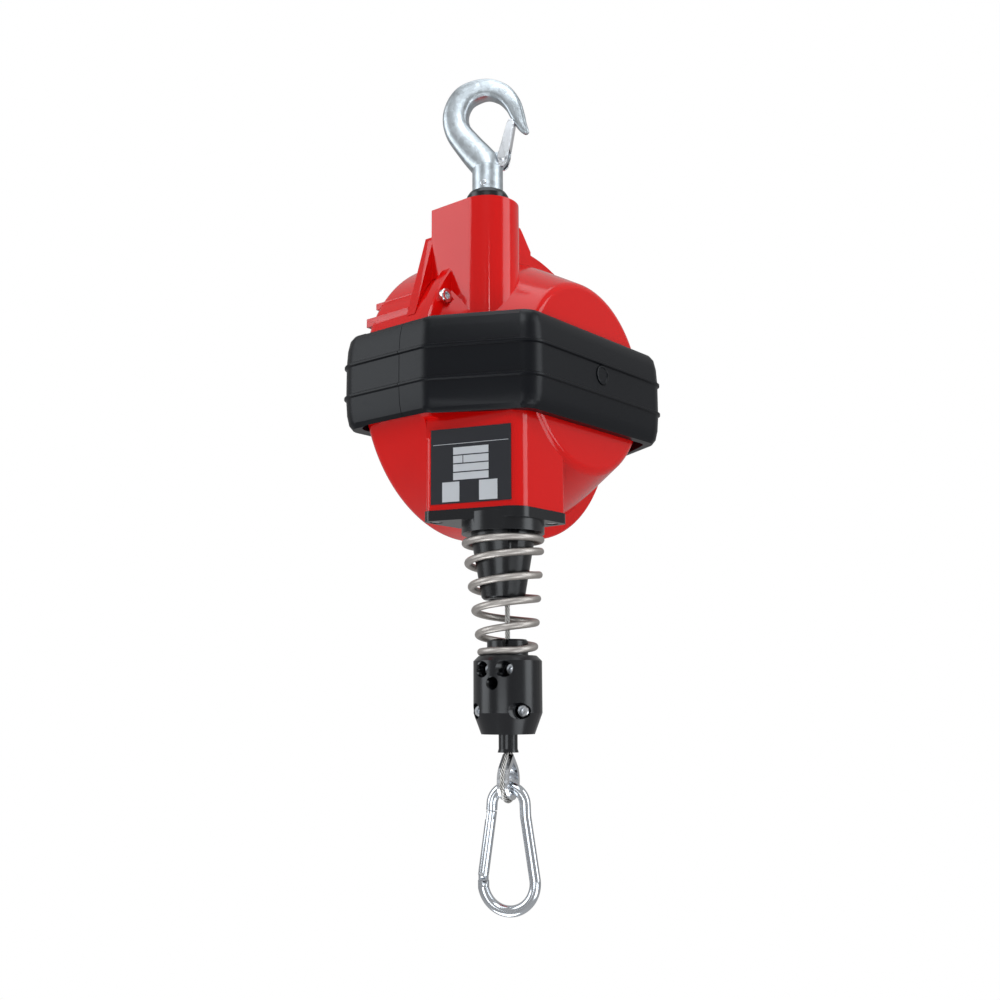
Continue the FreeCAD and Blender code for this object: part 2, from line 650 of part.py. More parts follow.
def belt_halves():
    """The belt, cleared around casing and column and split across the drum axis."""
    inner = belt_outline(END_X + BELT_SEAT_GAP, COVER_X - BELT_SEAT_GAP, BELT_FACET_X - 1.2,
                         BELT_FACET_Y - 7.0, BELT_HALF_Y - BELT_SIDE_T)
    ring = belt_skin().cut(rounded_prism(inner, [BELT_R - 5] * 6, BELT_Z - 40, BELT_Z + 40))
    ring = ring.cut(casing_room())
    ring = ring.cut(Part.makeCylinder(BELT_HOLE_R, 40, V(END_X - 6, DRUM_Y, DRUM_Z), V(1, 0, 0)))
    recess = Part.makeCylinder(BELT_HOLE_R + 2.2, 40, V(BELT_RIGHT_X - 1.4, DRUM_Y, DRUM_Z), V(1, 0, 0))
    ring = ring.cut(recess)
    big = 400
    right = ring.common(box(BELT_SPLIT_X + FIT_GAP, big, -big, big, -big, 0))
    left = ring.common(box(-big, BELT_SPLIT_X - FIT_GAP, -big, big, -big, 0))
    return largest(right), largest(left)


def largest(shape):
    return max(shape.Solids, key=lambda s: s.Volume)


def casing_room():
    """Space that housing, cover and column take inside the belt, with a small clearance."""
    gap = RUN_GAP
    cone = spin_x([(FLANGE_X - 1, 0), (FLANGE_X - 1, FLANGE_R + gap), (CONE_X + gap, FLANGE_R + gap),
                   (CONE_X + gap, CONE_R + gap), (END_X + gap, END_R + gap), (END_X + gap, 0)])
    room = cone.fuse(drum_disc(COVER_X - gap, FLANGE_X, COVER_R + gap))
    room = room.fuse(rounded_prism(box_outline(), BOX_RADII, BOX_BOTTOM, BOX_TOP, -gap))
    return room.fuse(rounded_prism(box_outline(), BOX_RADII, BOX_TOP - 1, BOX_TOP + gap, -gap))


# ---------------------------------------------------------------- hook and swivel
HOOK_SECTIONS = [  # centre x, z; direction x, z; half width; half depth
    (0.0, SHANK_TOP - BOW_ROOT, 0.0, 1.0, SHANK_R - BOW_INSET, SHANK_R - BOW_INSET),
    (-3.2, -43.5, -0.42, 0.9, 9.3, 8.8),
    (-12.0, -32.0, -0.6, 0.8, 8.4, 7.4),
    (-19.2, -20.0, -0.32, 0.95, 8.3, 6.6),
    (-20.3, -8.0, 0.16, 0.99, 8.3, 6.3),
    (-14.0, 2.6, 0.76, 0.65, 7.6, 6.2),
    (-1.0, 6.3, 1.0, 0.0, 6.3, 6.0),
    (11.0, 2.2, 0.82, -0.57, 5.4, 5.4),
    (18.0, -6.5, 0.45, -0.89, 4.4, 4.8),
    (21.6, -13.6, 0.5, -0.87, 3.5, 4.0),
    (26.6, -19.6, 0.78, -0.62, 2.3, 3.0),
]


def top_hook():
    """Forged hook in one piece with its swivel shank."""
    depth = V(0, 1, 0)
    wires = [ellipse_wire(V(x, 0, z), V(dx, 0, dz).normalize(), depth, wide, deep)
             for x, z, dx, dz, wide, deep in HOOK_SECTIONS]
    bow = Part.makeLoft(wires, True, False)
    shank = post(0, 0, BUSH_TOP + RUN_GAP, SHANK_TOP, SHANK_R)
    stem = post(0, 0, STEM_END, BUSH_TOP + 1, STEM_R)
    px, pz = LATCH_PIVOT
    ear = Part.makeCylinder(4.2, 2 * EAR_HALF, V(px, -EAR_HALF, pz), V(0, 1, 0))
    side = [(2, -38), (px, pz + 4.0), (px + 3.6, pz - 2), (6, -56), (2, -56), (2, -38)]
    neck = Part.Face(Part.makePolygon([V(x, -EAR_HALF, z) for x, z in side])).extrude(V(0, 2 * EAR_HALF, 0))
    hook = bow.fuse(shank).fuse(stem).fuse(ear).fuse(neck)
    hook = hook.cut(Part.makeCylinder(LATCH_PIN_R + SHAFT_GAP, 30, V(px, -15, pz), V(0, 1, 0)))
    hook = hook.cut(Part.makeCylinder(2.0 + 0.02, 40, V(0, -20, -58), V(0, 1, 0)))
    hook = hook.cut(Part.makeCylinder(1.6 + 0.02, 40, V(0, -20, NUT_TOP - NUT_H / 2), V(0, 1, 0)))
    return turn_z(hook.removeSplitter(), HOOK_TURN)


def hook_local(shape):
    return turn_z(shape, HOOK_TURN)


def safety_latch():
    """Sheet-metal latch, folded to a channel around the ear of the hook."""
    px, pz = LATCH_PIVOT
    tx, tz = LATCH_TIP
    along = V(tx - px, 0, tz - pz)
    length = along.Length
    along.normalize()
    across = V(along.z, 0, -along.x)
    sheet = 1.3
    pivot = V(px, 0, pz)

    def at(up, side, y):
        return pivot + along * up + across * side + V(0, y, 0)

    half = LATCH_W / 2
    back = Part.Face(Part.makePolygon([at(5.5, 2.6, -half), at(length, 1.2, -half), at(length, 1.2 - sheet, -half),
                                       at(5.5, 2.6 - sheet, -half), at(5.5, 2.6, -half)])).extrude(V(0, LATCH_W, 0))
    latch = back
    for y in (-half, half - sheet):
        cheek = Part.Face(Part.makePolygon([at(0, -3.0, y), at(0, 2.6, y), at(12, 2.2, y), at(13, -0.2, y), at(7, -2.6, y),
                                            at(0, -3.0, y)])).extrude(V(0, sheet, 0))
        eye = Part.makeCylinder(3.2, sheet, pivot + V(0, y, 0), V(0, 1, 0))
        latch = latch.fuse(cheek.fuse(eye))
    latch = latch.cut(Part.makeCylinder(LATCH_PIN_R + SHAFT_GAP, 30, V(px, -15, pz), V(0, 1, 0)))
    return hook_local(latch)


def latch_rivet():
    px, pz = LATCH_PIVOT
    half = LATCH_W / 2
    pin = Part.makeCylinder(LATCH_PIN_R, LATCH_W + 1.0, V(px, -half - 0.5, pz), V(0, 1, 0))
    for y in (-half - 0.5 - 1.0, half + 0.5):
        pin = pin.fuse(Part.makeCylinder(LATCH_PIN_R + 1.2, 1.0, V(px, y, pz), V(0, 1, 0)))
    return hook_local(pin)


def latch_spring():
    """Torsion spring on the rivet beside the ear: one coil and its two legs."""
    px, pz = LATCH_PIVOT
    wire = 0.25
    coil_r = LATCH_PIN_R + 2 * wire + 0.1
    near = EAR_HALF + wire + 0.05
    coil = Part.makeTorus(coil_r, wire, V(px, near, pz), V(0, 1, 0))
    up = rod(V(px + coil_r, near, pz), V(px + coil_r - 1.2, near, pz + 8), wire)
    down = rod(V(px - coil_r, near, pz), V(px - coil_r + 1.2, near, pz - 4), wire)
    return hook_local(coil.fuse(up).fuse(down))


def shank_pin():
    return hook_local(Part.makeCylinder(2.0, 2 * SHANK_R - 0.6, V(0, -SHANK_R + 0.3, -58), V(0, 1, 0)))


def swivel_nut():
    """Castle nut under the thrust bearing."""
    nut = Part.Face(Part.makePolygon([V(NUT_R * math.cos(math.radians(60 * i)), NUT_R * math.sin(math.radians(60 * i)),
                                        NUT_TOP - NUT_H) for i in range(7)])).extrude(V(0, 0, NUT_H))
    nut = nut.cut(post(0, 0, NUT_TOP - NUT_H - 1, NUT_TOP + 1, STEM_R + 0.02))
    nut = nut.cut(Part.makeCylinder(1.6 + 0.02, 40, V(0, -20, NUT_TOP - NUT_H / 2), V(0, 1, 0)))
    return hook_local(nut)


def nut_pin():
    return hook_local(Part.makeCylinder(1.6, 2 * NUT_R, V(0, -NUT_R, NUT_TOP - NUT_H / 2), V(0, 1, 0)))


def thrust_bearing():
    """Two washers with the ball cage between them."""
    ring = spin_z(0, [(STEM_R + SHAFT_GAP + 0.1, NUT_TOP + RUN_GAP), (NUT_R, NUT_TOP + RUN_GAP), (NUT_R, NUT_TOP + 2.2),
                      (NUT_R - 1.2, NUT_TOP + 2.2), (NUT_R - 1.2, NUT_TOP + BEARING_H - 2.2),
                      (NUT_R + 1.5, NUT_TOP + BEARING_H - 2.2), (NUT_R + 1.5, NUT_TOP + BEARING_H),
                      (STEM_R + SHAFT_GAP + 0.1, NUT_TOP + BEARING_H)])
    return ring


def swivel_bushing():
    """Black flanged bushing that the shank turns in."""
    outer = STEM_R + BUSH_SLEEVE
    return spin_z(0, [(STEM_R + SHAFT_GAP, BUSH_TOP), (BUSH_R - 1.5, BUSH_TOP), (BUSH_R, BUSH_TOP - 2.5), (BUSH_R, BOSS_TOP),
                      (outer, BOSS_TOP), (outer, BOSS_TOP - 28), (STEM_R + SHAFT_GAP, BOSS_TOP - 28)])


# ---------------------------------------------------------------- rope guide, label, fasteners
def guide_screw_places():
    """Four screws near the corners of the guide plate; the rear left one stands clear of the flange."""
    inset = 6.5
    front_left = on_face(BOX_LEFT - inset, -inset)
    front_right = on_face(-BOX_RIGHT_X + GUIDE_X + BOX_CORNER_R, -inset)
    back_y = BOX_BACK_Y - inset
    return [(front_left.x, front_left.y), (front_right.x, front_right.y), (BOX_RIGHT_X - inset, back_y),
            (CONE_X + 8, back_y)]


def rope_guide():
    """Plate, collar and tapered nozzle in one moulding, bored for the rope."""
    top = BOX_BOTTOM
    bottom = BOX_BOTTOM - PLATE_T
    body = rounded_prism(box_outline(), BOX_RADII, bottom, top, -PLATE_RIM)
    body = body.cut(drum_disc(COVER_X, CONE_X + RUN_GAP, FLANGE_R + RUN_GAP))
    body = body.fuse(post(GUIDE_X, 0, COLLAR_BOTTOM, COLLAR_TOP, COLLAR_R))
    nozzle = spin_z(GUIDE_X, [(0, COLLAR_BOTTOM + 1), (CONE_TOP_R, COLLAR_BOTTOM + 1), (CONE_TOP_R, COLLAR_BOTTOM - 2),
                              (CONE_TIP_R, CONE_TIP_Z + 1.2), (CONE_TIP_R - 1.2, CONE_TIP_Z), (0, CONE_TIP_Z)])
    body = body.fuse(nozzle)
    bore = spin_z(GUIDE_X, [(0, top + 1), (GUIDE_BORE_R + 6, top + 1), (GUIDE_BORE_R + 2, top - 5), (GUIDE_BORE_R, top - 14),
                            (GUIDE_BORE_R, CONE_TIP_Z + 8), (GUIDE_BORE_R + 1.5, CONE_TIP_Z + 3),
                            (GUIDE_BORE_R + 4.5, CONE_TIP_Z - 1), (0, CONE_TIP_Z - 1)])
    body = body.cut(bore)
    for x, y in guide_screw_places():
        body = body.cut(post(x, y, bottom - 1, top + 1, SCREW_R + FIT_GAP))
        body = body.cut(post(x, y, bottom - 1, bottom + 3.2, HEAD_R + 0.3))
        body = body.cut(post(x, y, bottom - 20, bottom, HEAD_R + 0.3))
    return body


def cap_screw(head_base, along, head_h, head_r, shaft_r, shaft_l):
    """Cap screw; along points from the shaft to the head."""
    along = V(along).normalize()
    head = Part.makeCylinder(head_r, head_h, head_base, along)
    shaft = Part.makeCylinder(shaft_r, shaft_l, head_base - along * shaft_l, along)
    return head.fuse(shaft)


def guide_screws():
    bottom = BOX_BOTTOM - PLATE_T + 3.2
    return group([cap_screw(V(x, y, bottom), V(0, 0, -1), 2.8, HEAD_R, SCREW_R, 12.0) for x, y in guide_screw_places()])


def cover_screws():
    return group([cap_screw(around_drum(CONE_X, COVER_SCREW_R, degrees), V(1, 0, 0), COVER_SCREW_HEAD_H,
                            COVER_SCREW_HEAD_R, COVER_SCREW_SIZE, COVER_SCREW_L) for degrees in SCREW_ANGLES])


def label_plate():
    """Plain data plate riveted flat on the slanted face."""
    a = on_face(LABEL_RIGHT)
    b = on_face(LABEL_RIGHT + LABEL_W)
    top = LABEL_TOP
    bottom = LABEL_TOP - LABEL_H
    corners = [V(a.x, a.y, bottom), V(b.x, b.y, bottom), V(b.x, b.y, top), V(a.x, a.y, top), V(a.x, a.y, bottom)]
    return Part.Face(Part.makePolygon(corners)).extrude(FACE_OUT * LABEL_T)


# ---------------------------------------------------------------- bumper spring and rope
def bumper_spring():
    """Tapered compression spring; its closed top turn lies under the collar of the guide."""
    top_z = COLLAR_BOTTOM - COIL_R - RUN_GAP
    foot_z = BUFFER_TOP + COIL_R
    flat = 0.8
    total = COIL_TURNS + 2 * flat
    steps = int(total * COIL_STEPS)
    points = []
    for i in range(steps + 1):
        turn = total * i / steps
        share = min(max((turn - flat) / COIL_TURNS, 0.0), 1.0)
        lead_in = 2.1 * COIL_R
        if turn < flat:
            z = foot_z + lead_in * 0.5 * turn / flat
        elif turn > flat + COIL_TURNS:
            z = top_z - lead_in * 0.5 * (total - turn) / flat
        else:
            z = foot_z + lead_in * 0.5 + (top_z - foot_z - lead_in) * share
        r = COIL_FOOT_R + (COIL_TOP_R - COIL_FOOT_R) * share
        x = ROPE_X + (GUIDE_X - ROPE_X) * share
        angle = 2 * math.pi * turn + math.radians(200)
        points.append(V(x + r * math.cos(angle), r * math.sin(angle), z))
    wires = []
    for i, point in enumerate(points):
        heading = points[min(i + 1, steps)] - points[max(i - 1, 0)]
        wires.append(ring_wire(COIL_R, point, heading))
    half_turn = COIL_STEPS // 2
    spans = [Part.makeLoft(wires[i:i + half_turn + 1], True, True) for i in range(0, steps, half_turn)]
    return spans[0].multiFuse(spans[1:])


INNER_TOP = DRUM_Z - 19.0      # the rope leaves the outermost turn here
RUN_TOP = CONE_TIP_Z - 0.5


def inner_rope():
    """Rope between the drum and the mouth of the guide."""
    return post(ROPE_X, 0, RUN_TOP, INNER_TOP, ROPE_R)


def rope_run():
    """Rope between the guide and the buffer: this is the stretch that grows as the load goes down."""
    return post(ROPE_X, 0, NECK_TOP, RUN_TOP, ROPE_R)


LOOP_R = EYE_R + THIMBLE_T + ROPE_R


def load_local(shape, degrees):
    """Turn a shape built about the origin's vertical axis, then set it on the rope's axis."""
    copy = turn_z(shape, degrees)
    copy.translate(V(ROPE_X, 0, 0))
    return copy


def loop_path(r, gap, top_a, top_b):
    """Two strands that open round the eye: lines, two tangent arcs and the round of the eye."""
    exit_z = TUBE_BOTTOM
    drop = exit_z - EYE_Z
    away = math.hypot(gap, drop)
    turn = math.acos(r / away)
    base = math.atan2(gap, drop)
    angle = base + turn
    touch = V(r * math.sin(angle), 0, EYE_Z + r * math.cos(angle))
    foot = V(0, 0, EYE_Z - r)
    mirror = V(-touch.x, 0, touch.z)
    bend = top_a - 8.0
    edges = [Part.LineSegment(V(0, 0, top_a), V(0, 0, bend)).toShape(),
             Part.LineSegment(V(0, 0, bend), V(gap, 0, bend - 10.0)).toShape(),
             Part.LineSegment(V(gap, 0, bend - 10.0), V(gap, 0, exit_z)).toShape(),
             Part.LineSegment(V(gap, 0, exit_z), touch).toShape(),
             Part.Arc(touch, foot, mirror).toShape(),
             Part.LineSegment(mirror, V(-gap, 0, exit_z)).toShape(),
             Part.LineSegment(V(-gap, 0, exit_z), V(-gap, 0, top_b)).toShape()]
    return Part.Wire(edges)


def rope_tail():
    """Rope through the buffer, round the thimble and back up into the clamp."""
    path = loop_path(LOOP_R, STRAND_GAP, NECK_TOP - 0.1, BUFFER_TAPER + 8)
    ring = Part.Wire(Part.makeCircle(ROPE_R, V(0, 0, NECK_TOP - 0.1), V(0, 0, -1)))
    tail = path.makePipeShell([ring], True, False, 1)
    return load_local(tail, THIMBLE_TURN)


def thimble():
    """Teardrop eye of folded sheet: the rope lies in the groove round its rim."""
    def teardrop(r, tip, half):
        drop = tip - EYE_Z
        turn = math.acos(r / drop)
        touch = V(r * math.sin(turn), -half, EYE_Z + r * math.cos(turn))
        mirror = V(-touch.x, -half, touch.z)
        top = V(0, -half, tip)
        wire = Part.Wire([Part.LineSegment(top, touch).toShape(), Part.Arc(touch, V(0, -half, EYE_Z - r), mirror).toShape(),
                          Part.LineSegment(mirror, top).toShape()])
        return Part.Face(wire).extrude(V(0, 2 * half, 0))

    half = THIMBLE_W / 2
    body = teardrop(LOOP_R + 0.2, TUBE_BOTTOM - 1.0, half)
    body = body.cut(teardrop(EYE_R, TUBE_BOTTOM - 5.5, half + 1))
    path = loop_path(LOOP_R + 0.15, STRAND_GAP + 0.15, NECK_TOP - 20, BUFFER_TAPER)
    ring = Part.Wire(Part.makeCircle(ROPE_R + 0.2, V(0, 0, NECK_TOP - 20), V(0, 0, -1)))
    body = body.cut(path.makePipeShell([ring], True, False, 1))
    return load_local(largest(body), THIMBLE_TURN)


# ---------------------------------------------------------------- buffer
def buffer_body():
    outer = spin_z(0, [(0, NECK_TOP), (NECK_R - 1, NECK_TOP), (NECK_R, NECK_TOP - 1), (NECK_R, BUFFER_TOP),
                       (BUFFER_R - BUFFER_CHAMFER, BUFFER_TOP), (BUFFER_R, BUFFER_TOP - BUFFER_CHAMFER),
                       (BUFFER_R, BUFFER_TAPER), (BUFFER_FOOT_R, BUFFER_BOTTOM), (0, BUFFER_BOTTOM)])
    out = V(0, -1, 0)
    seat = V(0, -HEAD_SEAT, 0)
    for s, z in (UPPER_SCREWS, LOWER_SCREWS):
        for side in (-s, s):
            outer = outer.cut(Part.makeCylinder(HEAD_HOLE_R, 40, V(side, 0, z) + seat, out))
            outer = outer.cut(Part.makeCylinder(SCREW_R + FIT_GAP, 20, V(side, 14, z), out))
    outer = outer.cut(Part.makeCylinder(SIGHT_HOLE_R, 40, V(0, -4, SIGHT_HOLE_Z), out))
    notch = box(2.5, 6.0, -NECK_R - 1, -5.0, BUFFER_TOP + 2, NECK_TOP + 1)
    return outer.cut(notch)


def buffer_halves():
    """The two clamping halves, with the channel for the rope and the seat of the sleeve."""
    body = load_local(buffer_body(), BUFFER_TURN)
    hollow = box(-STRAND_GAP - ROPE_R - 0.3, STRAND_GAP + ROPE_R + 0.3, -ROPE_R - 0.3, ROPE_R + 0.3,
                 BUFFER_BOTTOM - 1, NECK_TOP + 1)
    body = body.cut(load_local(hollow, THIMBLE_TURN))
    body = body.cut(post(ROPE_X, 0, BUFFER_BOTTOM - 1, SLEEVE_TOP + FIT_GAP, TUBE_R + FIT_GAP))
    big = 60
    seam = 0.1
    front_side = load_local(box(-big, big, -big, -seam, BUFFER_BOTTOM - 5, NECK_TOP + 5), BUFFER_TURN)
    back_side = load_local(box(-big, big, seam, big, BUFFER_BOTTOM - 5, NECK_TOP + 5), BUFFER_TURN)
    return largest(body.common(front_side)), largest(body.common(back_side))


SLEEVE_TOP = BUFFER_BOTTOM + 10.0


def rope_sleeve():
    """Short tube at the foot of the buffer, flared where the strands part."""
    tube = spin_z(0, [(TUBE_BORE_R, SLEEVE_TOP), (TUBE_R, SLEEVE_TOP), (TUBE_R, TUBE_BOTTOM + 2), (TUBE_R + 0.6, TUBE_BOTTOM),
                      (TUBE_BORE_R, TUBE_BOTTOM)])
    return load_local(tube, THIMBLE_TURN)


def buffer_screws():
    screws = []
    for s, z in (UPPER_SCREWS, LOWER_SCREWS):
        for side in (-s, s):
            screws.append(cap_screw(V(side, -HEAD_SEAT, z), V(0, -1, 0), HEAD_H, HEAD_R, SCREW_R, 15.0))
    return load_local(group(screws), BUFFER_TURN)


# ---------------------------------------------------------------- carabiner
def carabiner_points():
    """Centre line, from the gate's hinge round the foot, the back and the top to the nose."""
    top = CARABINER_TOP_Z - CARABINER_TOP_R
    foot = CARABINER_TOP_Z + 2 * WIRE_R - CARABINER_L + CARABINER_FOOT_R
    return top, foot


def carabiner_path():
    """Centre line of the bent wire, open on the gate's side."""
    top, foot = carabiner_points()
    rt = CARABINER_TOP_R
    rf = CARABINER_FOOT_R
    lean = math.asin((rf - rt - 0.9) / (top - foot - 6))
    kink = V(rt + 0.2, 0, top - 6)
    side = V(rf * math.cos(lean), 0, foot + rf * math.sin(lean))
    round_off = math.radians(HINGE_DROP)
    hinge_side = V(-rf * math.cos(round_off), 0, foot - rf * math.sin(round_off))
    hinge_top = V(-rf + 0.3, 0, CARABINER_TOP_Z - GATE_FOOT_DROP)
    nose = V(-rt - 0.2, 0, CARABINER_TOP_Z - GATE_TOP_DROP + 3.0)
    edges = [Part.LineSegment(hinge_top, hinge_side).toShape(),
             Part.Arc(hinge_side, V(0, 0, foot - rf), side).toShape(),
             Part.LineSegment(side, kink).toShape(),
             Part.LineSegment(kink, V(rt, 0, top)).toShape(),
             Part.Arc(V(rt, 0, top), V(0, 0, top + rt), V(-rt, 0, top)).toShape(),
             Part.LineSegment(V(-rt, 0, top), nose).toShape()]
    return Part.Wire(edges), hinge_top, nose


def bent_wire(path, r):
    """Round wire along lines and arcs; a ball fills each bend between two of them."""
    body = None
    for edge in path.OrderedEdges:
        start = edge.valueAt(edge.FirstParameter)
        end = edge.valueAt(edge.LastParameter)
        if edge.Curve.TypeId == "Part::GeomLine":
            piece = rod(start, end, r)
        else:
            ring = Part.Wire(Part.makeCircle(r, start, edge.tangentAt(edge.FirstParameter)))
            piece = Part.Wire(edge).makePipeShell([ring], True, False, 1)
        body = piece if body is None else body.fuse(piece).fuse(Part.makeSphere(r, joint_point(edge, last)))
        last = edge
    return body


def joint_point(edge, other):
    """End that two edges share."""
    ends = [edge.valueAt(edge.FirstParameter), edge.valueAt(edge.LastParameter)]
    others = [other.valueAt(other.FirstParameter), other.valueAt(other.LastParameter)]
    return min(ends, key=lambda p: min(p.distanceToPoint(q) for q in others))


def carabiner_body():
    path, hinge_top, nose = carabiner_path()
    body = bent_wire(path, WIRE_R)
    nose_tongue = box(nose.x - 1.2, nose.x + 1.2, -1.4, 1.4, nose.z - 4.0, nose.z + 1)
    knob = Part.makeCylinder(1.5, 4.0, V(nose.x, -2.0, nose.z - 3.2), V(0, 1, 0))
    hinge_tongue = box(hinge_top.x - 2.6, hinge_top.x + 2.6, -1.3, 1.3, hinge_top.z - 1, hinge_top.z + 3.5)
    hinge_eye = Part.makeCylinder(2.6, 2.6, V(hinge_top.x, -1.3, hinge_top.z + 3.5), V(0, 1, 0))
    body = body.fuse(hinge_tongue).fuse(hinge_eye).fuse(nose_tongue).fuse(knob)
    body = body.cut(Part.makeCylinder(GATE_PIN_R + 0.02, 10, V(hinge_top.x, -5, hinge_top.z + 3.5), V(0, 1, 0)))
    return load_local(body, CARABINER_TURN)


def gate_frame():
    path, hinge_top, nose = carabiner_path()
    pivot = V(hinge_top.x, 0, hinge_top.z + 3.5)
    tip = V(nose.x, 0, nose.z - 2 * RUN_GAP)
    return pivot, tip, nose


def carabiner_gate():
    """Round gate, forked at the hinge and slotted at the nose."""
    pivot, tip, nose = gate_frame()
    along = (tip - pivot).normalize()
    body = rod(pivot, tip, WIRE_R - 0.1).fuse(Part.makeSphere(WIRE_R - 0.1, pivot))
    across = V(0, 1, 0)
    fork_room = Part.makeCylinder(3.3, 3.2, V(pivot.x, -1.6, pivot.z), across)
    side = box(pivot.x - 6, pivot.x + 6, -1.6, 1.6, pivot.z - 8, pivot.z + 1.0)
    body = body.cut(fork_room).cut(side)
    slot = box(nose.x - 1.6 - 6, nose.x + 1.6, -1.75, 1.75, nose.z - 5.5, nose.z + 2)
    knob_room = box(nose.x - 7, nose.x + 1.9, -2.35, 2.35, nose.z - 5.1, nose.z - 1.3)
    body = body.cut(slot).cut(knob_room)
    body = body.cut(Part.makeCylinder(GATE_PIN_R + SHAFT_GAP, 10, V(pivot.x, -5, pivot.z), across))
    return load_local(largest(body), CARABINER_TURN)


def gate_pin():
    pivot, tip, nose = gate_frame()
    pin = Part.makeCylinder(GATE_PIN_R, 2 * WIRE_R - 0.4, V(pivot.x, -WIRE_R + 0.2, pivot.z), V(0, 1, 0))
    return load_local(pin, CARABINER_TURN)


def main():
    housing = main_housing()
    save("main_housing", housing)
    cover = spring_cover()
    save("spring_cover", cover)
    right, left = belt_halves()
    save("bumper_cone_side", right)
    save("bumper_spring_side", left)
    save("cover_screws", cover_screws())
    save("swivel_bushing", swivel_bushing())
    save("thrust_bearing", thrust_bearing())
    save("label_plate", label_plate())
    save("rope_guide", rope_guide())
    save("guide_screws", guide_screws())
    save("main_axle", main_axle())
    save("inner_rope", inner_rope())
    save("top_hook", top_hook())
    save("latch_rivet", latch_rivet())
    save("latch_spring", latch_spring())
    save("shank_pin", shank_pin())
    save("swivel_nut", swivel_nut())
    save("nut_pin", nut_pin())
    save("safety_latch", safety_latch())
    save("rope_drum", rope_drum())
    save("wound_rope", wound_rope())
    save("drum_bearing_large", drum_bearing(DRUM_BEARING_X[0]))
    save("drum_bearing_small", drum_bearing(DRUM_BEARING_X[1]))
    save("spring_arbor", spring_arbor())
    save("spring_case", spring_case())
    save("case_lid", case_lid())
    save("worm_wheel", worm_wheel())
    save("mainspring", mainspring())
    save("adjusting_worm", adjusting_worm())
    save("rope_run", rope_run())
    save("rope_tail", rope_tail())
    save("bumper_spring", bumper_spring())
    front, back = buffer_halves()
    save("buffer_front", front)
    save("buffer_back", back)
    save("buffer_screws", buffer_screws())
    save("rope_sleeve", rope_sleeve())
    save("thimble", thimble())
    save("carabiner_body", carabiner_body())
    save("gate_pin", gate_pin())
    save("carabiner_gate", carabiner_gate())


main()
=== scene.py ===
# %% [markdown]
# # A spring tool balancer, dressed in Blender
# The construction model gives every piece its place. This lesson adds the finishes and the fine pieces
# that plain solids leave out: stranded rope, a wound spring, socket screws and a data plate.
# We load the frame first, because every later piece takes its place from it.

# %% Load the frame
import bpy
import bmesh
import json
import math
from mathutils import Vector, Matrix


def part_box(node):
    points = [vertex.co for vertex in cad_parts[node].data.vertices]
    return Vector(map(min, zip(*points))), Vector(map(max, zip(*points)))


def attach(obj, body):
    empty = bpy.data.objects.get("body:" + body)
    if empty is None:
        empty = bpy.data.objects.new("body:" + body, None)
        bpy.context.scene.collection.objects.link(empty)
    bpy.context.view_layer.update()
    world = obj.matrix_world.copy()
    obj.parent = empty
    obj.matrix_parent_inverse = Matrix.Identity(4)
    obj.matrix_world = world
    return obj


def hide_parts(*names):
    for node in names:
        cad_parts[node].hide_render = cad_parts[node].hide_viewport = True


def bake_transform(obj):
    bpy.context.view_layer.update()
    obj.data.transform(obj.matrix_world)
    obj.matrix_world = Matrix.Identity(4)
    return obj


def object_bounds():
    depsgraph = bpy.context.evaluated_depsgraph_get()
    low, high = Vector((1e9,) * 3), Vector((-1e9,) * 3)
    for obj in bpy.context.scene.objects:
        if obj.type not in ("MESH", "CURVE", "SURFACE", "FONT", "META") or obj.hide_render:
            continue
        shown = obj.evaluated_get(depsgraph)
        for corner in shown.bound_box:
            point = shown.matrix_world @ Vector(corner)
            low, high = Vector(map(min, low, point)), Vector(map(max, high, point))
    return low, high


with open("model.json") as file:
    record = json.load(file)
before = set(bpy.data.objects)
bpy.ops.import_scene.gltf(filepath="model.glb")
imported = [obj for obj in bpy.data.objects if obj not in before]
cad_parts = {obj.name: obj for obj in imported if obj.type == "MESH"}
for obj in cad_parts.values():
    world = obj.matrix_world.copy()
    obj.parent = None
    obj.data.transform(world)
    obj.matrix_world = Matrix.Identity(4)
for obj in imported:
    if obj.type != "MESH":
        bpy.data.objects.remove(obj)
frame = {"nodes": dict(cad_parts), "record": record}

MM = 0.001
cad_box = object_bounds()
print("nodes:", len(frame["nodes"]), "box:", [round(v, 4) for v in list(cad_box[0]) + list(cad_box[1])])

# %% [markdown]
# ## Camera
# The balancer hangs above eye level and is seen a little from below, from the small end of its drum.
# A camera is set by its place and by the direction it looks in, which keeps verticals honest.

# %% Camera
def make_camera(place, look, roll, lens):
    data = bpy.data.cameras.new("studio_camera")
    data.lens = lens
    data.sensor_width = 36.0
    data.clip_start = 0.01
    cam = bpy.data.objects.new("studio_camera", data)
    bpy.context.scene.collection.objects.link(cam)
    turn = Vector(look).to_track_quat("-Z", "Y").to_matrix().to_4x4()
    cam.matrix_world = Matrix.Translation(place) @ turn @ Matrix.Rotation(roll, 4, "Z")
    bpy.context.scene.camera = cam
    return cam


camera = make_camera((0.45927, -0.54573, -0.38312), (-0.62733, 0.76002, 0.16978), -0.005, 43.2)
print("camera at", [round(v, 3) for v in camera.matrix_world.translation])

# %% [markdown]
# ## Studio
# A pale floor and large soft lamps suit glossy enamel: big lamps give broad, calm reflections.
# The white background comes from the ray's kind, not from more light: camera and glass rays meet it whole,
# mirror rays meet a share of it, and the floor keeps a little of its own shade for the object's shadow.
# The floor lies below the lowest place that the load can reach, and two lamps light the part from below.

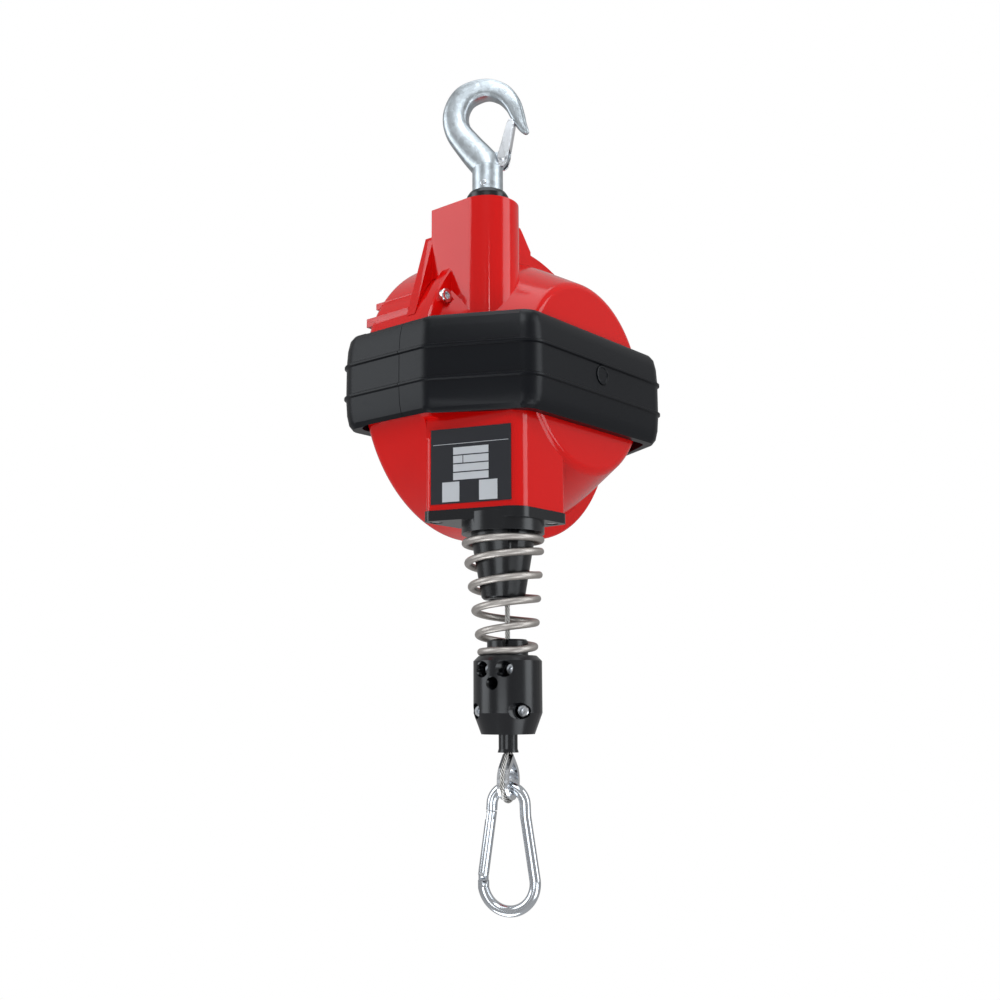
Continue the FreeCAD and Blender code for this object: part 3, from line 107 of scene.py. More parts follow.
# %% Studio
LOAD_TRAVEL = 2.0        # the load comes down this far, and the floor lies below that
FLOOR_GAP = 0.06
FLOOR_Z = cad_box[0][2] - LOAD_TRAVEL - FLOOR_GAP
FLOOR_REACH = 4.0
FLOOR_SHARE = 0.96       # the rest is the floor's own shade, which keeps the shadow
FLOOR_GLOW = 1.035       # a little over white makes up for that rest
MIRROR_SHARE = 0.35      # how much of the white background a mirror ray meets
SKY_STRENGTH = 0.16


def background_share(nodes, links):
    """1 for rays from the camera or through glass, a share of it for mirror rays, 0 for the rest."""
    path = nodes.new("ShaderNodeLightPath")
    mirror = nodes.new("ShaderNodeMath")
    mirror.operation = "MULTIPLY_ADD"
    mirror.inputs[1].default_value = MIRROR_SHARE
    links.new(path.outputs["Is Glossy Ray"], mirror.inputs[0])
    links.new(path.outputs["Is Camera Ray"], mirror.inputs[2])
    glass = nodes.new("ShaderNodeMath")
    glass.operation = "ADD"
    glass.use_clamp = True
    links.new(mirror.outputs[0], glass.inputs[0])
    links.new(path.outputs["Is Transmission Ray"], glass.inputs[1])
    return glass.outputs[0]


def make_world():
    world = bpy.data.worlds.new("studio_world")
    bpy.context.scene.world = world
    world.use_nodes = True
    nodes, links = world.node_tree.nodes, world.node_tree.links
    nodes.clear()
    out = nodes.new("ShaderNodeOutputWorld")
    soft = nodes.new("ShaderNodeBackground")
    soft.inputs[1].default_value = SKY_STRENGTH
    # brighter above, dimmer at eye level and below, so that metal shows light and dark bands
    aim = nodes.new("ShaderNodeTexCoord")
    split = nodes.new("ShaderNodeSeparateXYZ")
    ramp = nodes.new("ShaderNodeValToRGB")
    ramp.color_ramp.elements[0].position = 0.30
    ramp.color_ramp.elements[0].color = (0.45, 0.46, 0.50, 1)
    ramp.color_ramp.elements[1].position = 0.75
    ramp.color_ramp.elements[1].color = (1, 1, 1, 1)
    dim = ramp.color_ramp.elements.new(0.5)
    dim.color = (0.07, 0.075, 0.085, 1)
    lift = nodes.new("ShaderNodeMath")
    lift.operation = "MULTIPLY_ADD"
    lift.inputs[1].default_value = 0.5
    lift.inputs[2].default_value = 0.5
    links.new(aim.outputs["Generated"], split.inputs[0])
    links.new(split.outputs["Z"], lift.inputs[0])
    links.new(lift.outputs[0], ramp.inputs[0])
    links.new(ramp.outputs[0], soft.inputs[0])
    white = nodes.new("ShaderNodeBackground")
    white.inputs[0].default_value = (1, 1, 1, 1)
    white.inputs[1].default_value = 1.0
    mix = nodes.new("ShaderNodeMixShader")
    links.new(background_share(nodes, links), mix.inputs[0])
    links.new(soft.outputs[0], mix.inputs[1])
    links.new(white.outputs[0], mix.inputs[2])
    links.new(mix.outputs[0], out.inputs[0])


LAMP_TINT = (0.91, 0.96, 1.0)        # slightly cool daylight


def area_lamp(name, place, target, size, power):
    data = bpy.data.lights.new(name, "AREA")
    data.shape = "RECTANGLE"
    data.size, data.size_y = size
    data.energy = power
    data.color = LAMP_TINT
    lamp = bpy.data.objects.new(name, data)
    bpy.context.scene.collection.objects.link(lamp)
    lamp.location = place
    lamp.rotation_euler = (Vector(target) - Vector(place)).to_track_quat("-Z", "Y").to_euler()


def make_floor():
    mesh = bpy.data.meshes.new("studio_floor")
    corners = [(x * FLOOR_REACH, y * FLOOR_REACH, FLOOR_Z) for x, y in ((-1, -1), (1, -1), (1, 1), (-1, 1))]
    mesh.from_pydata(corners, [], [(0, 1, 2, 3)])
    floor = bpy.data.objects.new("studio_floor", mesh)
    bpy.context.scene.collection.objects.link(floor)
    mat = bpy.data.materials.new("studio_floor")
    mat.use_nodes = True
    nodes, links = mat.node_tree.nodes, mat.node_tree.links
    shade = nodes["Principled BSDF"]
    shade.inputs["Base Color"].default_value = (0.80, 0.80, 0.81, 1)
    shade.inputs["Roughness"].default_value = 0.8
    glow = nodes.new("ShaderNodeEmission")
    glow.inputs[1].default_value = FLOOR_GLOW
    part = nodes.new("ShaderNodeMath")
    part.operation = "MULTIPLY"
    part.inputs[1].default_value = FLOOR_SHARE
    mix = nodes.new("ShaderNodeMixShader")
    links.new(background_share(nodes, links), part.inputs[0])
    links.new(part.outputs[0], mix.inputs[0])
    links.new(shade.outputs[0], mix.inputs[1])
    links.new(glow.outputs[0], mix.inputs[2])
    links.new(mix.outputs[0], nodes["Material Output"].inputs[0])
    mesh.materials.append(mat)
    return floor


make_world()
make_floor()
MIDDLE = (0.0, 0.02, -0.22)
area_lamp("left_box", (-0.85, -1.00, 0.12), MIDDLE, (0.75, 1.3), 7.6)
area_lamp("right_box", (1.02, 0.42, 0.08), MIDDLE, (0.55, 1.2), 5.8)
area_lamp("top_box", (0.1, -0.1, 0.95), MIDDLE, (0.9, 0.9), 4.0)
area_lamp("front_high", (0.50, -0.72, 0.62), MIDDLE, (0.45, 0.35), 3.4)
area_lamp("low_fill", (0.35, -0.9, -0.5), (0.0, 0.0, -0.35), (0.5, 0.3), 1.4)
area_lamp("low_right", (1.00, -0.10, -0.85), MIDDLE, (0.7, 0.6), 3.6)
area_lamp("from_below", (-0.20, -0.37, -1.35), MIDDLE, (0.6, 0.6), 5.0)
bpy.context.scene.view_settings.view_transform = "Standard"
print("floor at", round(FLOOR_Z, 3))

# %% [markdown]
# ## Shader groups
# Enamel, zinc, rubber and plastic share a few effects: a slow change of tone, fine grain and faint
# scratches. Each effect is one node group with named inputs, so every material sets its own amounts.

# %% Group helpers
def new_group(name, inputs, outputs):
    group = bpy.data.node_groups.new(name, "ShaderNodeTree")
    for label, default in inputs:
        socket = group.interface.new_socket(label, in_out="INPUT", socket_type="NodeSocketFloat")
        socket.default_value = default
    for label in outputs:
        group.interface.new_socket(label, in_out="OUTPUT", socket_type="NodeSocketFloat")
    entry = group.nodes.new("NodeGroupInput")
    leave = group.nodes.new("NodeGroupOutput")
    place = group.nodes.new("ShaderNodeTexCoord")
    return group, entry, leave, place.outputs["Object"]


def math_node(tree, operation, a, b=None, c=None):
    node = tree.nodes.new("ShaderNodeMath")
    node.operation = operation
    for i, value in enumerate((a, b, c)):
        if value is None:
            continue
        if isinstance(value, (int, float)):
            node.inputs[i].default_value = value
        else:
            tree.links.new(value, node.inputs[i])
    return node.outputs[0]


def noise_node(tree, place, scale, detail=3.0, rough=0.5):
    node = tree.nodes.new("ShaderNodeTexNoise")
    node.inputs["Detail"].default_value = detail
    node.inputs["Roughness"].default_value = rough
    tree.links.new(place, node.inputs["Vector"])
    if isinstance(scale, (int, float)):
        node.inputs["Scale"].default_value = scale
    else:
        tree.links.new(scale, node.inputs["Scale"])
    return node.outputs["Fac"]


# %% Shared effects
SCUFF_FLOOR = 0.62           # only noise above this shows as a scratch
SCUFF_STEEPNESS = 6.0
SPANGLE_RELIEF_SCALE = 420


def tone_drift_group():
    group, entry, leave, place = new_group("tone_drift", [("Scale", 30), ("Amount", 0.1)], ["Tone"])
    cloud = noise_node(group, place, entry.outputs["Scale"])
    swing = math_node(group, "MULTIPLY", math_node(group, "SUBTRACT", cloud, 0.5), entry.outputs["Amount"])
    group.links.new(math_node(group, "ADD", swing, 1.0), leave.inputs["Tone"])
    return group


def fine_grain_group():
    sizes = [("Scale", 1500), ("Wave Scale", 160), ("Wave", 0.3)]
    group, entry, leave, place = new_group("fine_grain", sizes, ["Height"])
    grain = noise_node(group, place, entry.outputs["Scale"], 2.0)
    wave = noise_node(group, place, entry.outputs["Wave Scale"], 1.0)
    both = math_node(group, "MULTIPLY_ADD", wave, entry.outputs["Wave"], grain)
    group.links.new(both, leave.inputs["Height"])
    return group


def scuff_group():
    group, entry, leave, place = new_group("scuffs", [("Scale", 90), ("Amount", 0.3)], ["Mask"])
    stretch = group.nodes.new("ShaderNodeMapping")
    stretch.inputs["Rotation"].default_value = (0.4, 0.3, 0.7)
    stretch.inputs["Scale"].default_value = (1.0, 9.0, 1.0)
    group.links.new(place, stretch.inputs["Vector"])
    lines = noise_node(group, stretch.outputs[0], entry.outputs["Scale"], 4.0, 0.6)
    thin = math_node(group, "SUBTRACT", lines, SCUFF_FLOOR)
    thin = math_node(group, "MULTIPLY", math_node(group, "MAXIMUM", thin, 0.0), SCUFF_STEEPNESS)
    group.links.new(math_node(group, "MULTIPLY", thin, entry.outputs["Amount"]), leave.inputs["Mask"])
    return group


def spangle_group():
    sizes = [("Scale", 260), ("Contrast", 0.3)]
    group, entry, leave, place = new_group("zinc_spangle", sizes, ["Tone", "Height"])
    cells = group.nodes.new("ShaderNodeTexVoronoi")
    group.links.new(place, cells.inputs["Vector"])
    group.links.new(entry.outputs["Scale"], cells.inputs["Scale"])
    grey = group.nodes.new("ShaderNodeSeparateColor")
    group.links.new(cells.outputs["Color"], grey.inputs[0])
    middle = math_node(group, "SUBTRACT", grey.outputs[0], 0.5)
    swing = math_node(group, "MULTIPLY", middle, entry.outputs["Contrast"])
    group.links.new(math_node(group, "ADD", swing, 1.0), leave.inputs["Tone"])
    group.links.new(noise_node(group, place, SPANGLE_RELIEF_SCALE), leave.inputs["Height"])
    return group


GROUPS = {"tone": tone_drift_group(), "grain": fine_grain_group(),
          "scuff": scuff_group(), "spangle": spangle_group()}
print("groups:", sorted(GROUPS))

# %% [markdown]
# ## Finishes
# Each finish keeps its shader in the material and takes only tones, masks and heights from the groups.
# Enamel gets a smooth, slightly wavy skin. Zinc gets spangle, rubber a matt grain.

# %% Finish builder
BUMP_DEPTH = 0.0002
SCUFF_ROUGHNESS = 0.15       # what a full scratch adds to the roughness


def place_group(tree, kind, **values):
    node = tree.nodes.new("ShaderNodeGroup")
    node.node_tree = GROUPS[kind]
    for label, value in values.items():
        node.inputs[label.replace("_", " ")].default_value = value
    return node


def finish(name, color, rough, metallic=0.0, tone=(30, 0.1), grain=(1500, 160, 0.3), bump=0.02,
           scuff=(90, 0.3), spangle=None, shine=0.5, groove_shade=0.0):
    """A material: base colour, roughness, and the amounts that the shared effects take."""
    mat = bpy.data.materials.new(name)
    mat.use_nodes = True
    tree = mat.node_tree
    shade = tree.nodes["Principled BSDF"]
    shade.inputs["Metallic"].default_value = metallic
    shade.inputs["Specular IOR Level"].default_value = shine
    drift = place_group(tree, "tone", Scale=tone[0], Amount=tone[1]).outputs["Tone"]
    height = place_group(tree, "grain", Scale=grain[0], Wave_Scale=grain[1], Wave=grain[2]).outputs["Height"]
    if spangle:
        zinc = place_group(tree, "spangle", Scale=spangle[0], Contrast=spangle[1])
        drift = math_node(tree, "MULTIPLY", drift, zinc.outputs["Tone"])
        height = math_node(tree, "ADD", height, zinc.outputs["Height"])
    # painted shade: the base colour is darkened in the grooves between the rope's strands, by the crown attribute
    if groove_shade:
        crown = tree.nodes.new("ShaderNodeAttribute")
        crown.attribute_name = "crown"
        shade_in = math_node(tree, "MULTIPLY_ADD", crown.outputs["Fac"], groove_shade, 1.0 - groove_shade)
        drift = math_node(tree, "MULTIPLY", drift, shade_in)
    tint = tree.nodes.new("ShaderNodeVectorMath")
    tint.operation = "SCALE"
    tint.inputs[0].default_value = color
    tree.links.new(drift, tint.inputs["Scale"])
    tree.links.new(tint.outputs[0], shade.inputs["Base Color"])
    marks = place_group(tree, "scuff", Scale=scuff[0], Amount=scuff[1]).outputs["Mask"]
    rough_out = math_node(tree, "MULTIPLY_ADD", marks, SCUFF_ROUGHNESS, rough)
    tree.links.new(rough_out, shade.inputs["Roughness"])
    lift = tree.nodes.new("ShaderNodeBump")
    lift.inputs["Strength"].default_value = bump
    lift.inputs["Distance"].default_value = BUMP_DEPTH
    tree.links.new(height, lift.inputs["Height"])
    tree.links.new(lift.outputs[0], shade.inputs["Normal"])
    return mat


# %% The finishes of this balancer
LOOKS = {
    "red_enamel": dict(color=(0.84, 0.004, 0.003), rough=0.13, tone=(14, 0.05), grain=(900, 120, 2.0),
                       bump=0.06, shine=0.40),
    "belt_rubber": dict(color=(0.0034, 0.0042, 0.0064), rough=0.34, tone=(22, 0.25), grain=(1900, 240, 0.4),
                        bump=0.10, scuff=(60, 0.5), shine=0.22),
    "black_plastic": dict(color=(0.0050, 0.0056, 0.0074), rough=0.24, tone=(40, 0.25), bump=0.04,
                          scuff=(120, 0.25)),
    "galvanised": dict(color=(0.50, 0.545, 0.575), rough=0.36, metallic=1.0, tone=(60, 0.25), bump=0.35,
                       spangle=(330, 0.28), scuff=(150, 0.5)),
    "zinc_steel": dict(color=(0.78, 0.80, 0.83), rough=0.20, metallic=1.0, tone=(200, 0.15), bump=0.06,
                       spangle=(700, 0.1)),
    "zinc_bright": dict(color=(0.66, 0.69, 0.73), rough=0.15, metallic=1.0, tone=(70, 0.12), bump=0.05,
                        scuff=(160, 0.4)),
    "spring_steel": dict(color=(0.47, 0.435, 0.405), rough=0.42, metallic=0.85, tone=(260, 0.3), bump=0.15,
                         scuff=(300, 1.0)),
    # the wire rope gets painted shade in the grooves between its strands
    "wire_rope": dict(color=(0.70, 0.68, 0.65), rough=0.34, metallic=1.0, tone=(500, 0.2), bump=0.05,
                      groove_shade=0.92),
    "wire_rope_wound": dict(color=(0.46, 0.45, 0.43), rough=0.38, metallic=1.0, tone=(500, 0.2), bump=0.05),
    "machined_steel": dict(color=(0.55, 0.56, 0.57), rough=0.28, metallic=1.0, scuff=(200, 0.8)),
    "cast_aluminium": dict(color=(0.60, 0.61, 0.62), rough=0.45, metallic=1.0, bump=0.3, grain=(700, 200, 0.5)),
    "bronze": dict(color=(0.46, 0.28, 0.10), rough=0.32, metallic=1.0, scuff=(160, 0.8)),
    "plate_dark": dict(color=(0.018, 0.019, 0.024), rough=0.30, tone=(80, 0.15), bump=0.03),
    "plate_white": dict(color=(0.66, 0.67, 0.69), rough=0.40, tone=(120, 0.08), bump=0.03),
}
FINISH = {name: finish(name, **values) for name, values in LOOKS.items()}
print("finishes:", len(FINISH))

# %% [markdown]
# ## Carry over the solids
# Every node of the frame keeps its shape and takes the finish its record names. The carabiner is plated
# smoother than the hook, and ropes drawn without strands need no painted groove shade, so those get their own
# look.
# Rounded pieces are then copied, merged and shaded smooth, because the frame's triangles are loose and
# would show as facets.

# %% Finish every node
SLOT_OF = {row["node"]: row["material_slot"] for row in frame["record"]["subparts"]}
LOOK_OF = dict(SLOT_OF, carabiner_body="zinc_bright", carabiner_gate="zinc_bright",
               inner_rope="wire_rope_wound", wound_rope="wire_rope_wound")
for node, obj in frame["nodes"].items():
    obj.data.materials.clear()
    obj.data.materials.append(FINISH[LOOK_OF[node]])
print("nodes finished:", len(SLOT_OF))


# %% Smooth copies with softened edges
BODY_OF = {n: b for b, names in frame["record"]["behaviour"]["bodies"].items() for n in names}
ROPE_AXIS = Vector((0.014, 0, 0))
MERGE_REACH = 2e-6
SAME_PLANE = math.radians(0.6)
SKIN_EDGE = 32               # an edge sharper than this, in degrees, stays sharp


def link(obj):
    bpy.context.scene.collection.objects.link(obj)
    return obj


def round_normals(mesh, centre, end_face=0.2, on_round=0.985, near=0.95):
    """Give faces of a turned form the true normals of that form about its vertical axis."""
    axis = Vector((0, 0, 1))
    normals = [corner.vector.copy() for corner in mesh.corner_normals]

    def outward(point):
        arm = point - centre
        return (arm - axis * arm.dot(axis)).normalized()

    for face in mesh.polygons:
        lean = face.normal.dot(axis)
        flat = face.normal - axis * lean
        if flat.length < end_face or flat.normalized().dot(outward(face.center)) < on_round:
            continue
        for i in face.loop_indices:
            arm = outward(mesh.vertices[mesh.loops[i].vertex_index].co)
            if arm.dot(flat.normalized()) > near:
                normals[i] = (arm * flat.length + axis * lean).normalized()
    mesh.normals_split_custom_set(normals)


def soften_edges(piece, width, angle, harden=False):
    """Round the sharp edges of a piece a little."""
    soften = piece.modifiers.new("soft_edges", "BEVEL")
    soften.width = width
    soften.segments = 2
    soften.limit_method = "ANGLE"
    soften.angle_limit = math.radians(angle)
    soften.use_clamp_overlap = True
    soften.harden_normals = harden


def smooth_copy(node, bevel=0.0, turned=False):
    """A merged, smooth-shaded copy of one node with its sharp edges rounded a little."""
    mesh = frame["nodes"][node].data.copy()
    mesh.name = node + "_skin"
    bm = bmesh.new()
    bm.from_mesh(mesh)
    bmesh.ops.remove_doubles(bm, verts=bm.verts, dist=MERGE_REACH)
    bmesh.ops.dissolve_limit(bm, angle_limit=SAME_PLANE, verts=bm.verts, edges=bm.edges)
    bm.to_mesh(mesh)
    bm.free()
    mesh.shade_smooth()
    mesh.set_sharp_from_angle(angle=math.radians(SKIN_EDGE))
    if turned:
        round_normals(mesh, ROPE_AXIS)
    piece = link(bpy.data.objects.new(node + "_skin", mesh))
    if bevel:
        soften_edges(piece, bevel, SKIN_EDGE)
    if not turned:
        level = piece.modifiers.new("level_faces", "WEIGHTED_NORMAL")
        level.keep_sharp = True
        level.weight = 100
    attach(piece, BODY_OF[node])
    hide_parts(node)
    return piece


# how far each copy's sharp edges are rounded, in millimetres
SKINS = {"main_housing": 0.9, "spring_cover": 0.9, "bumper_cone_side": 0.7, "bumper_spring_side": 0.7,
         "swivel_bushing": 0.3, "rope_guide": 0.5, "buffer_front": 0.0, "buffer_back": 0.0,
         "rope_sleeve": 0.0, "thimble": 0.15, "carabiner_body": 0.0, "carabiner_gate": 0.2, "rope_drum": 0.3,
         "spring_case": 0.3}
TURNED = ("buffer_front", "buffer_back", "rope_sleeve")
for node, bevel in SKINS.items():
    piece = smooth_copy(node, bevel * MM, node in TURNED)
    print(node, "skin faces", len(piece.data.polygons))

# %% [markdown]
# ## Forged hook
# A forged hook is thick and flat-sided at its back and thins towards its nose. It could be carved from a
# block, but a skin over a row of sections keeps the flow of the forging, so we loft it. Each section is a
# rounded rectangle, nearly round in the shank and flatter in the bow.

# %% Hook frame and section ring
HOOK_TURN = math.radians(28)
RING_SIDES = 32


def hook_point(x, y, z):
    """Point given in the hook's own plane, in millimetres, as a place in metres."""
    c, s = math.cos(HOOK_TURN), math.sin(HOOK_TURN)
    return Vector((x * c - y * s, x * s + y * c, z)) * MM


def section_ring(row):
    """Rounded section: half width in the hook's plane, half depth across it, and how square it is."""
    x, z, dx, dz, wide, deep, square = row
    size = math.hypot(dx, dz)
    ring = []
    for i in range(RING_SIDES):
        turn = 2 * math.pi * i / RING_SIDES
        c, s = math.cos(turn), math.sin(turn)
        a = math.copysign(abs(c) ** (2 / square), c) * wide
        b = math.copysign(abs(s) ** (2 / square), s) * deep
        ring.append(hook_point(x + a * dz / size, b, z - a * dx / size))
    return ring


def between(rows, steps):
    """More sections between the given ones, on smooth curves through them."""
    more = []
    for i in range(len(rows) - 1):
        p0, p1, p2, p3 = rows[max(i - 1, 0)], rows[i], rows[i + 1], rows[min(i + 2, len(rows) - 1)]
        for k in range(steps):
            t = k / steps
            more.append([0.5 * (2 * b + (c - a) * t + (2 * a - 5 * b + 4 * c - d) * t ** 2
                                + (3 * b - a - 3 * c + d) * t ** 3) for a, b, c, d in zip(p0, p1, p2, p3)])
    return more + [list(rows[-1])]


def skin_over(bm, rings):
    """Closed skin over a row of rings."""
    loops = [[bm.verts.new(p) for p in ring] for ring in rings]
    for a, b in zip(loops, loops[1:]):
        for i in range(len(a)):
            bm.faces.new((a[i], a[(i + 1) % len(a)], b[(i + 1) % len(b)], b[i]))
    bm.faces.new(loops[0])
    bm.faces.new(loops[-1])


# %% Hook sections: x, z, heading x and z, half width, half depth, squareness
HOOK_ROWS = [
    (0.0, -50.0, 0.0, 1.0, 9.2, 9.0, 2.0),
    (-2.4, -43.5, -0.36, 0.93, 9.9, 8.0, 2.5),
    (-11.4, -32.0, -0.6, 0.8, 9.0, 6.8, 2.8),
    (-19.2, -20.0, -0.32, 0.95, 8.4, 6.4, 2.8),
    (-20.3, -8.0, 0.16, 0.99, 8.3, 6.2, 2.9),
    (-14.0, 2.6, 0.76, 0.65, 7.6, 6.0, 3.5),
    (-1.0, 6.3, 1.0, 0.0, 6.3, 5.7, 4.0),
    (9.8, 2.4, 0.82, -0.57, 6.0, 5.3, 4.0),
    (16.4, -5.4, 0.48, -0.88, 5.4, 4.6, 3.8),
    (19.6, -13.4, 0.33, -0.94, 4.6, 3.5, 3.4),
    (22.4, -20.6, 0.46, -0.89, 3.3, 2.7, 2.6),
    (24.8, -24.8, 0.6, -0.8, 2.2, 2.0, 2.1),
    (26.0, -26.3, 0.65, -0.76, 1.2, 1.1, 2.0)]
HOOK_STEPS = 6               # sections between two rows
SHANK_SIDES = 48
print("hook sections:", len(HOOK_ROWS), "rows")


# %% Building blocks of small pieces
def circle(sides):
    """Cosine and sine at even steps round a circle."""
    return [(math.cos(2 * math.pi * i / sides), math.sin(2 * math.pi * i / sides)) for i in range(sides)]


def round_rings(profile):
    """Rings about the shank for (radius, height) pairs."""
    return [[hook_point(r * c, r * s, z) for c, s in circle(SHANK_SIDES)] for r, z in profile]


def slab(bm, outline, y0, y1):
    """Flat plate from (x, z) points in the hook's plane between two depths."""
    skin_over(bm, [[hook_point(x, y, z) for x, z in outline] for y in (y0, y1)])


def finish_piece(bm, name, material, body, bevel=0.0, angle=35):
    """Turn a bmesh into a smooth piece with rounded edges that rides on a body."""
    bmesh.ops.recalc_face_normals(bm, faces=bm.faces)
    mesh = bpy.data.meshes.new(name)
    bm.to_mesh(mesh)
    bm.free()
    mesh.shade_smooth()
    mesh.set_sharp_from_angle(angle=math.radians(angle))
    mesh.materials.append(FINISH[material])
    piece = link(bpy.data.objects.new(name, mesh))
    if bevel:
        soften_edges(piece, bevel, angle, harden=True)
    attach(piece, body)
    print(name, "faces", len(piece.data.polygons))
    return piece


# %% Hook
PIVOT = (10.6, -41.0)        # latch hinge, as x and z in the hook's plane
EAR_R = 4.2
bm = bmesh.new()
skin_over(bm, [section_ring(row) for row in between(HOOK_ROWS, HOOK_STEPS)])
skin_over(bm, round_rings([(8.9, -64.7), (9.7, -64.0), (9.7, -48.0), (9.0, -47.2)]))
skin_over(bm, round_rings([(7.5, -124.0), (7.5, -64.0)]))
ear = [(PIVOT[0] + EAR_R * math.cos(math.radians(a)), PIVOT[1] + EAR_R * math.sin(math.radians(a)))
       for a in range(-60, 121, 15)]
slab(bm, ear + [(4.0, -37.0), (4.0, -52.0), (8.5, -50.0)], -1.5, 1.5)
hook_skin = finish_piece(bm, "forged_hook", "galvanised", "hook", bevel=0.25 * MM)
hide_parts("top_hook")

# %% [markdown]
# ## Safety latch
# The latch is a folded channel: a back sheet and two cheeks that run from the rivet to the nose. Plates of
# sheet thickness, joined along the fold, show its edges the way bent metal does.

# %% Latch
LATCH_END = (16.2, -17.0)
CHEEK_OUT, CHEEK_IN = 4.0, 2.8       # outer and inner face of each cheek, from the middle
away = Vector((LATCH_END[0] - PIVOT[0], LATCH_END[1] - PIVOT[1])).normalized()
across = Vector((away.y, -away.x))
reach = math.hypot(LATCH_END[0] - PIVOT[0], LATCH_END[1] - PIVOT[1])


def latch_outline(pairs):
    """Outline points from (distance along the latch, distance outwards)."""
    return [(PIVOT[0] + away.x * u + across.x * v, PIVOT[1] + away.y * u + across.y * v) for u, v in pairs]


cheek = latch_outline([(-7.5, -1.2), (-7.0, 1.6), (-4.5, 3.4), (0, 3.4), (reach - 2, 2.0), (reach, 1.0),
                       (reach, -1.6), (reach - 3, -2.4), (3, -3.3), (-2, -3.4), (-5.5, -2.9)])
back = latch_outline([(5.0, 3.1), (reach - 1, 2.2), (reach - 1, 0.9), (5.0, 1.8)])
bm = bmesh.new()
slab(bm, cheek, -CHEEK_OUT, -CHEEK_IN)
slab(bm, cheek, CHEEK_IN, CHEEK_OUT)
slab(bm, back, -2.9, 2.9)
latch_skin = finish_piece(bm, "folded_latch", "zinc_steel", "latch", bevel=0.3 * MM)
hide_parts("safety_latch")

# %% [markdown]
# ## Rivet and cross pin
# The rivet's rolled heads stand on the cheeks. The cross pin through the shank is a rolled sleeve, so its
# end shows a bright ring round a dark bore. Both are turned profiles about a line through two points.

# %% Turned piece about any line
def turn_about(bm, start, heading, profile, sides=28):
    """Rings for (radius, distance) pairs about a line from a start point in metres."""
    heading = heading.normalized()
    side = heading.orthogonal().normalized()
    other = heading.cross(side)
    rings = []
    for r, d in profile:
        middle = start + heading * d * MM
        rings.append([middle + (side * c + other * s) * r * MM for c, s in circle(sides)])
    skin_over(bm, rings)


# %% Rivet heads
hook_depth = hook_point(0, 1, 0) - hook_point(0, 0, 0)
bm = bmesh.new()
for way in (-1, 1):
    turn_about(bm, hook_point(PIVOT[0], 3.9 * way, PIVOT[1]), hook_depth * way,
               [(2.0, -0.6), (2.9, 0.05), (2.9, 0.6), (2.4, 1.0), (1.5, 1.0), (1.0, 0.5), (0.2, 0.5)])
finish_piece(bm, "rivet_heads", "zinc_steel", "hook", angle=40)

# %% Cross pin
PIN_Z, PIN_AT = -60.6, math.radians(-66)
pin_out = Vector((math.cos(PIN_AT), math.sin(PIN_AT), 0))
bm = bmesh.new()
turn_about(bm, Vector((0, 0, PIN_Z * MM)), pin_out,
           [(1.2, 6.0), (1.9, 6.0), (1.9, 9.75), (1.6, 9.95), (1.1, 9.9), (1.05, 8.0), (0.2, 8.0)])
finish_piece(bm, "shank_pin_end", "zinc_steel", "hook", angle=40)

# %% [markdown]
# ## Plug in the belt
# The belt's face over the small end has a small round plug at the drum axis. A turned profile with a raised
# rim and a shallow middle is enough.

# %% Belt plug
belt_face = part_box("bumper_cone_side")[1][0]
DRUM_Y, DRUM_Z = 53.0, -180.0        # the drum's axis
bm = bmesh.new()
plug = [(4.05, -6.0), (4.05, -1.5), (6.1, -1.35), (6.1, -0.7), (5.7, -0.5), (5.0, -0.5), (4.6, -1.0), (0.4, -1.0)]
skin_over(bm, [[Vector((belt_face + x * MM, (DRUM_Y + r * c) * MM, (DRUM_Z + r * s) * MM)) for c, s in circle(40)]
               for r, x in plug])
finish_piece(bm, "belt_plug", "belt_rubber", "housing")

# %% [markdown]
# ## Fine pieces made by rule
# A wound spring and a stranded rope follow a line. Geometry Nodes make both: a few named sizes give the
# line, and a small round section is swept along it. The result is turned into a plain mesh at the end.

# %% Geometry node helpers
def geo_tree(name, floats, material):
    """An empty tree with named float inputs that ends in Realize Instances and Set Material."""
    tree = bpy.data.node_groups.new(name, "GeometryNodeTree")
    tree.interface.new_socket("Geometry", in_out="INPUT", socket_type="NodeSocketGeometry")
    for label, default in floats:
        socket = tree.interface.new_socket(label, in_out="INPUT", socket_type="NodeSocketFloat")
        socket.default_value = default
    tree.interface.new_socket("Geometry", in_out="OUTPUT", socket_type="NodeSocketGeometry")
    entry = tree.nodes.new("NodeGroupInput")
    leave = tree.nodes.new("NodeGroupOutput")
    real = tree.nodes.new("GeometryNodeRealizeInstances")
    paint = tree.nodes.new("GeometryNodeSetMaterial")
    paint.inputs["Material"].default_value = material
    tree.links.new(real.outputs[0], paint.inputs["Geometry"])
    tree.links.new(paint.outputs[0], leave.inputs[0])
    return tree, entry, real.inputs[0]


def run_tree(base, tree, values, name):
    """Run a tree on an object and keep the result as a plain mesh object."""
    mod = base.modifiers.new(tree.name, "NODES")
    mod.node_group = tree
    for item in tree.interface.items_tree:
        if item.in_out == "INPUT" and item.name in values:
            mod[item.identifier] = values[item.name]
    graph = bpy.context.evaluated_depsgraph_get()
    mesh = bpy.data.meshes.new_from_object(base.evaluated_get(graph))
    base.modifiers.remove(mod)
    piece = link(bpy.data.objects.new(name, mesh))
    mesh.name = name
    bpy.data.objects.remove(base)
    return piece


def vec_math(tree, operation, a, b=None, scale=None):
    node = tree.nodes.new("ShaderNodeVectorMath")
    node.operation = operation
    tree.links.new(a, node.inputs[0])
    if b is not None:
        tree.links.new(b, node.inputs[1])
    if scale is not None:
        tree.links.new(scale, node.inputs["Scale"])
    return node.outputs[0]


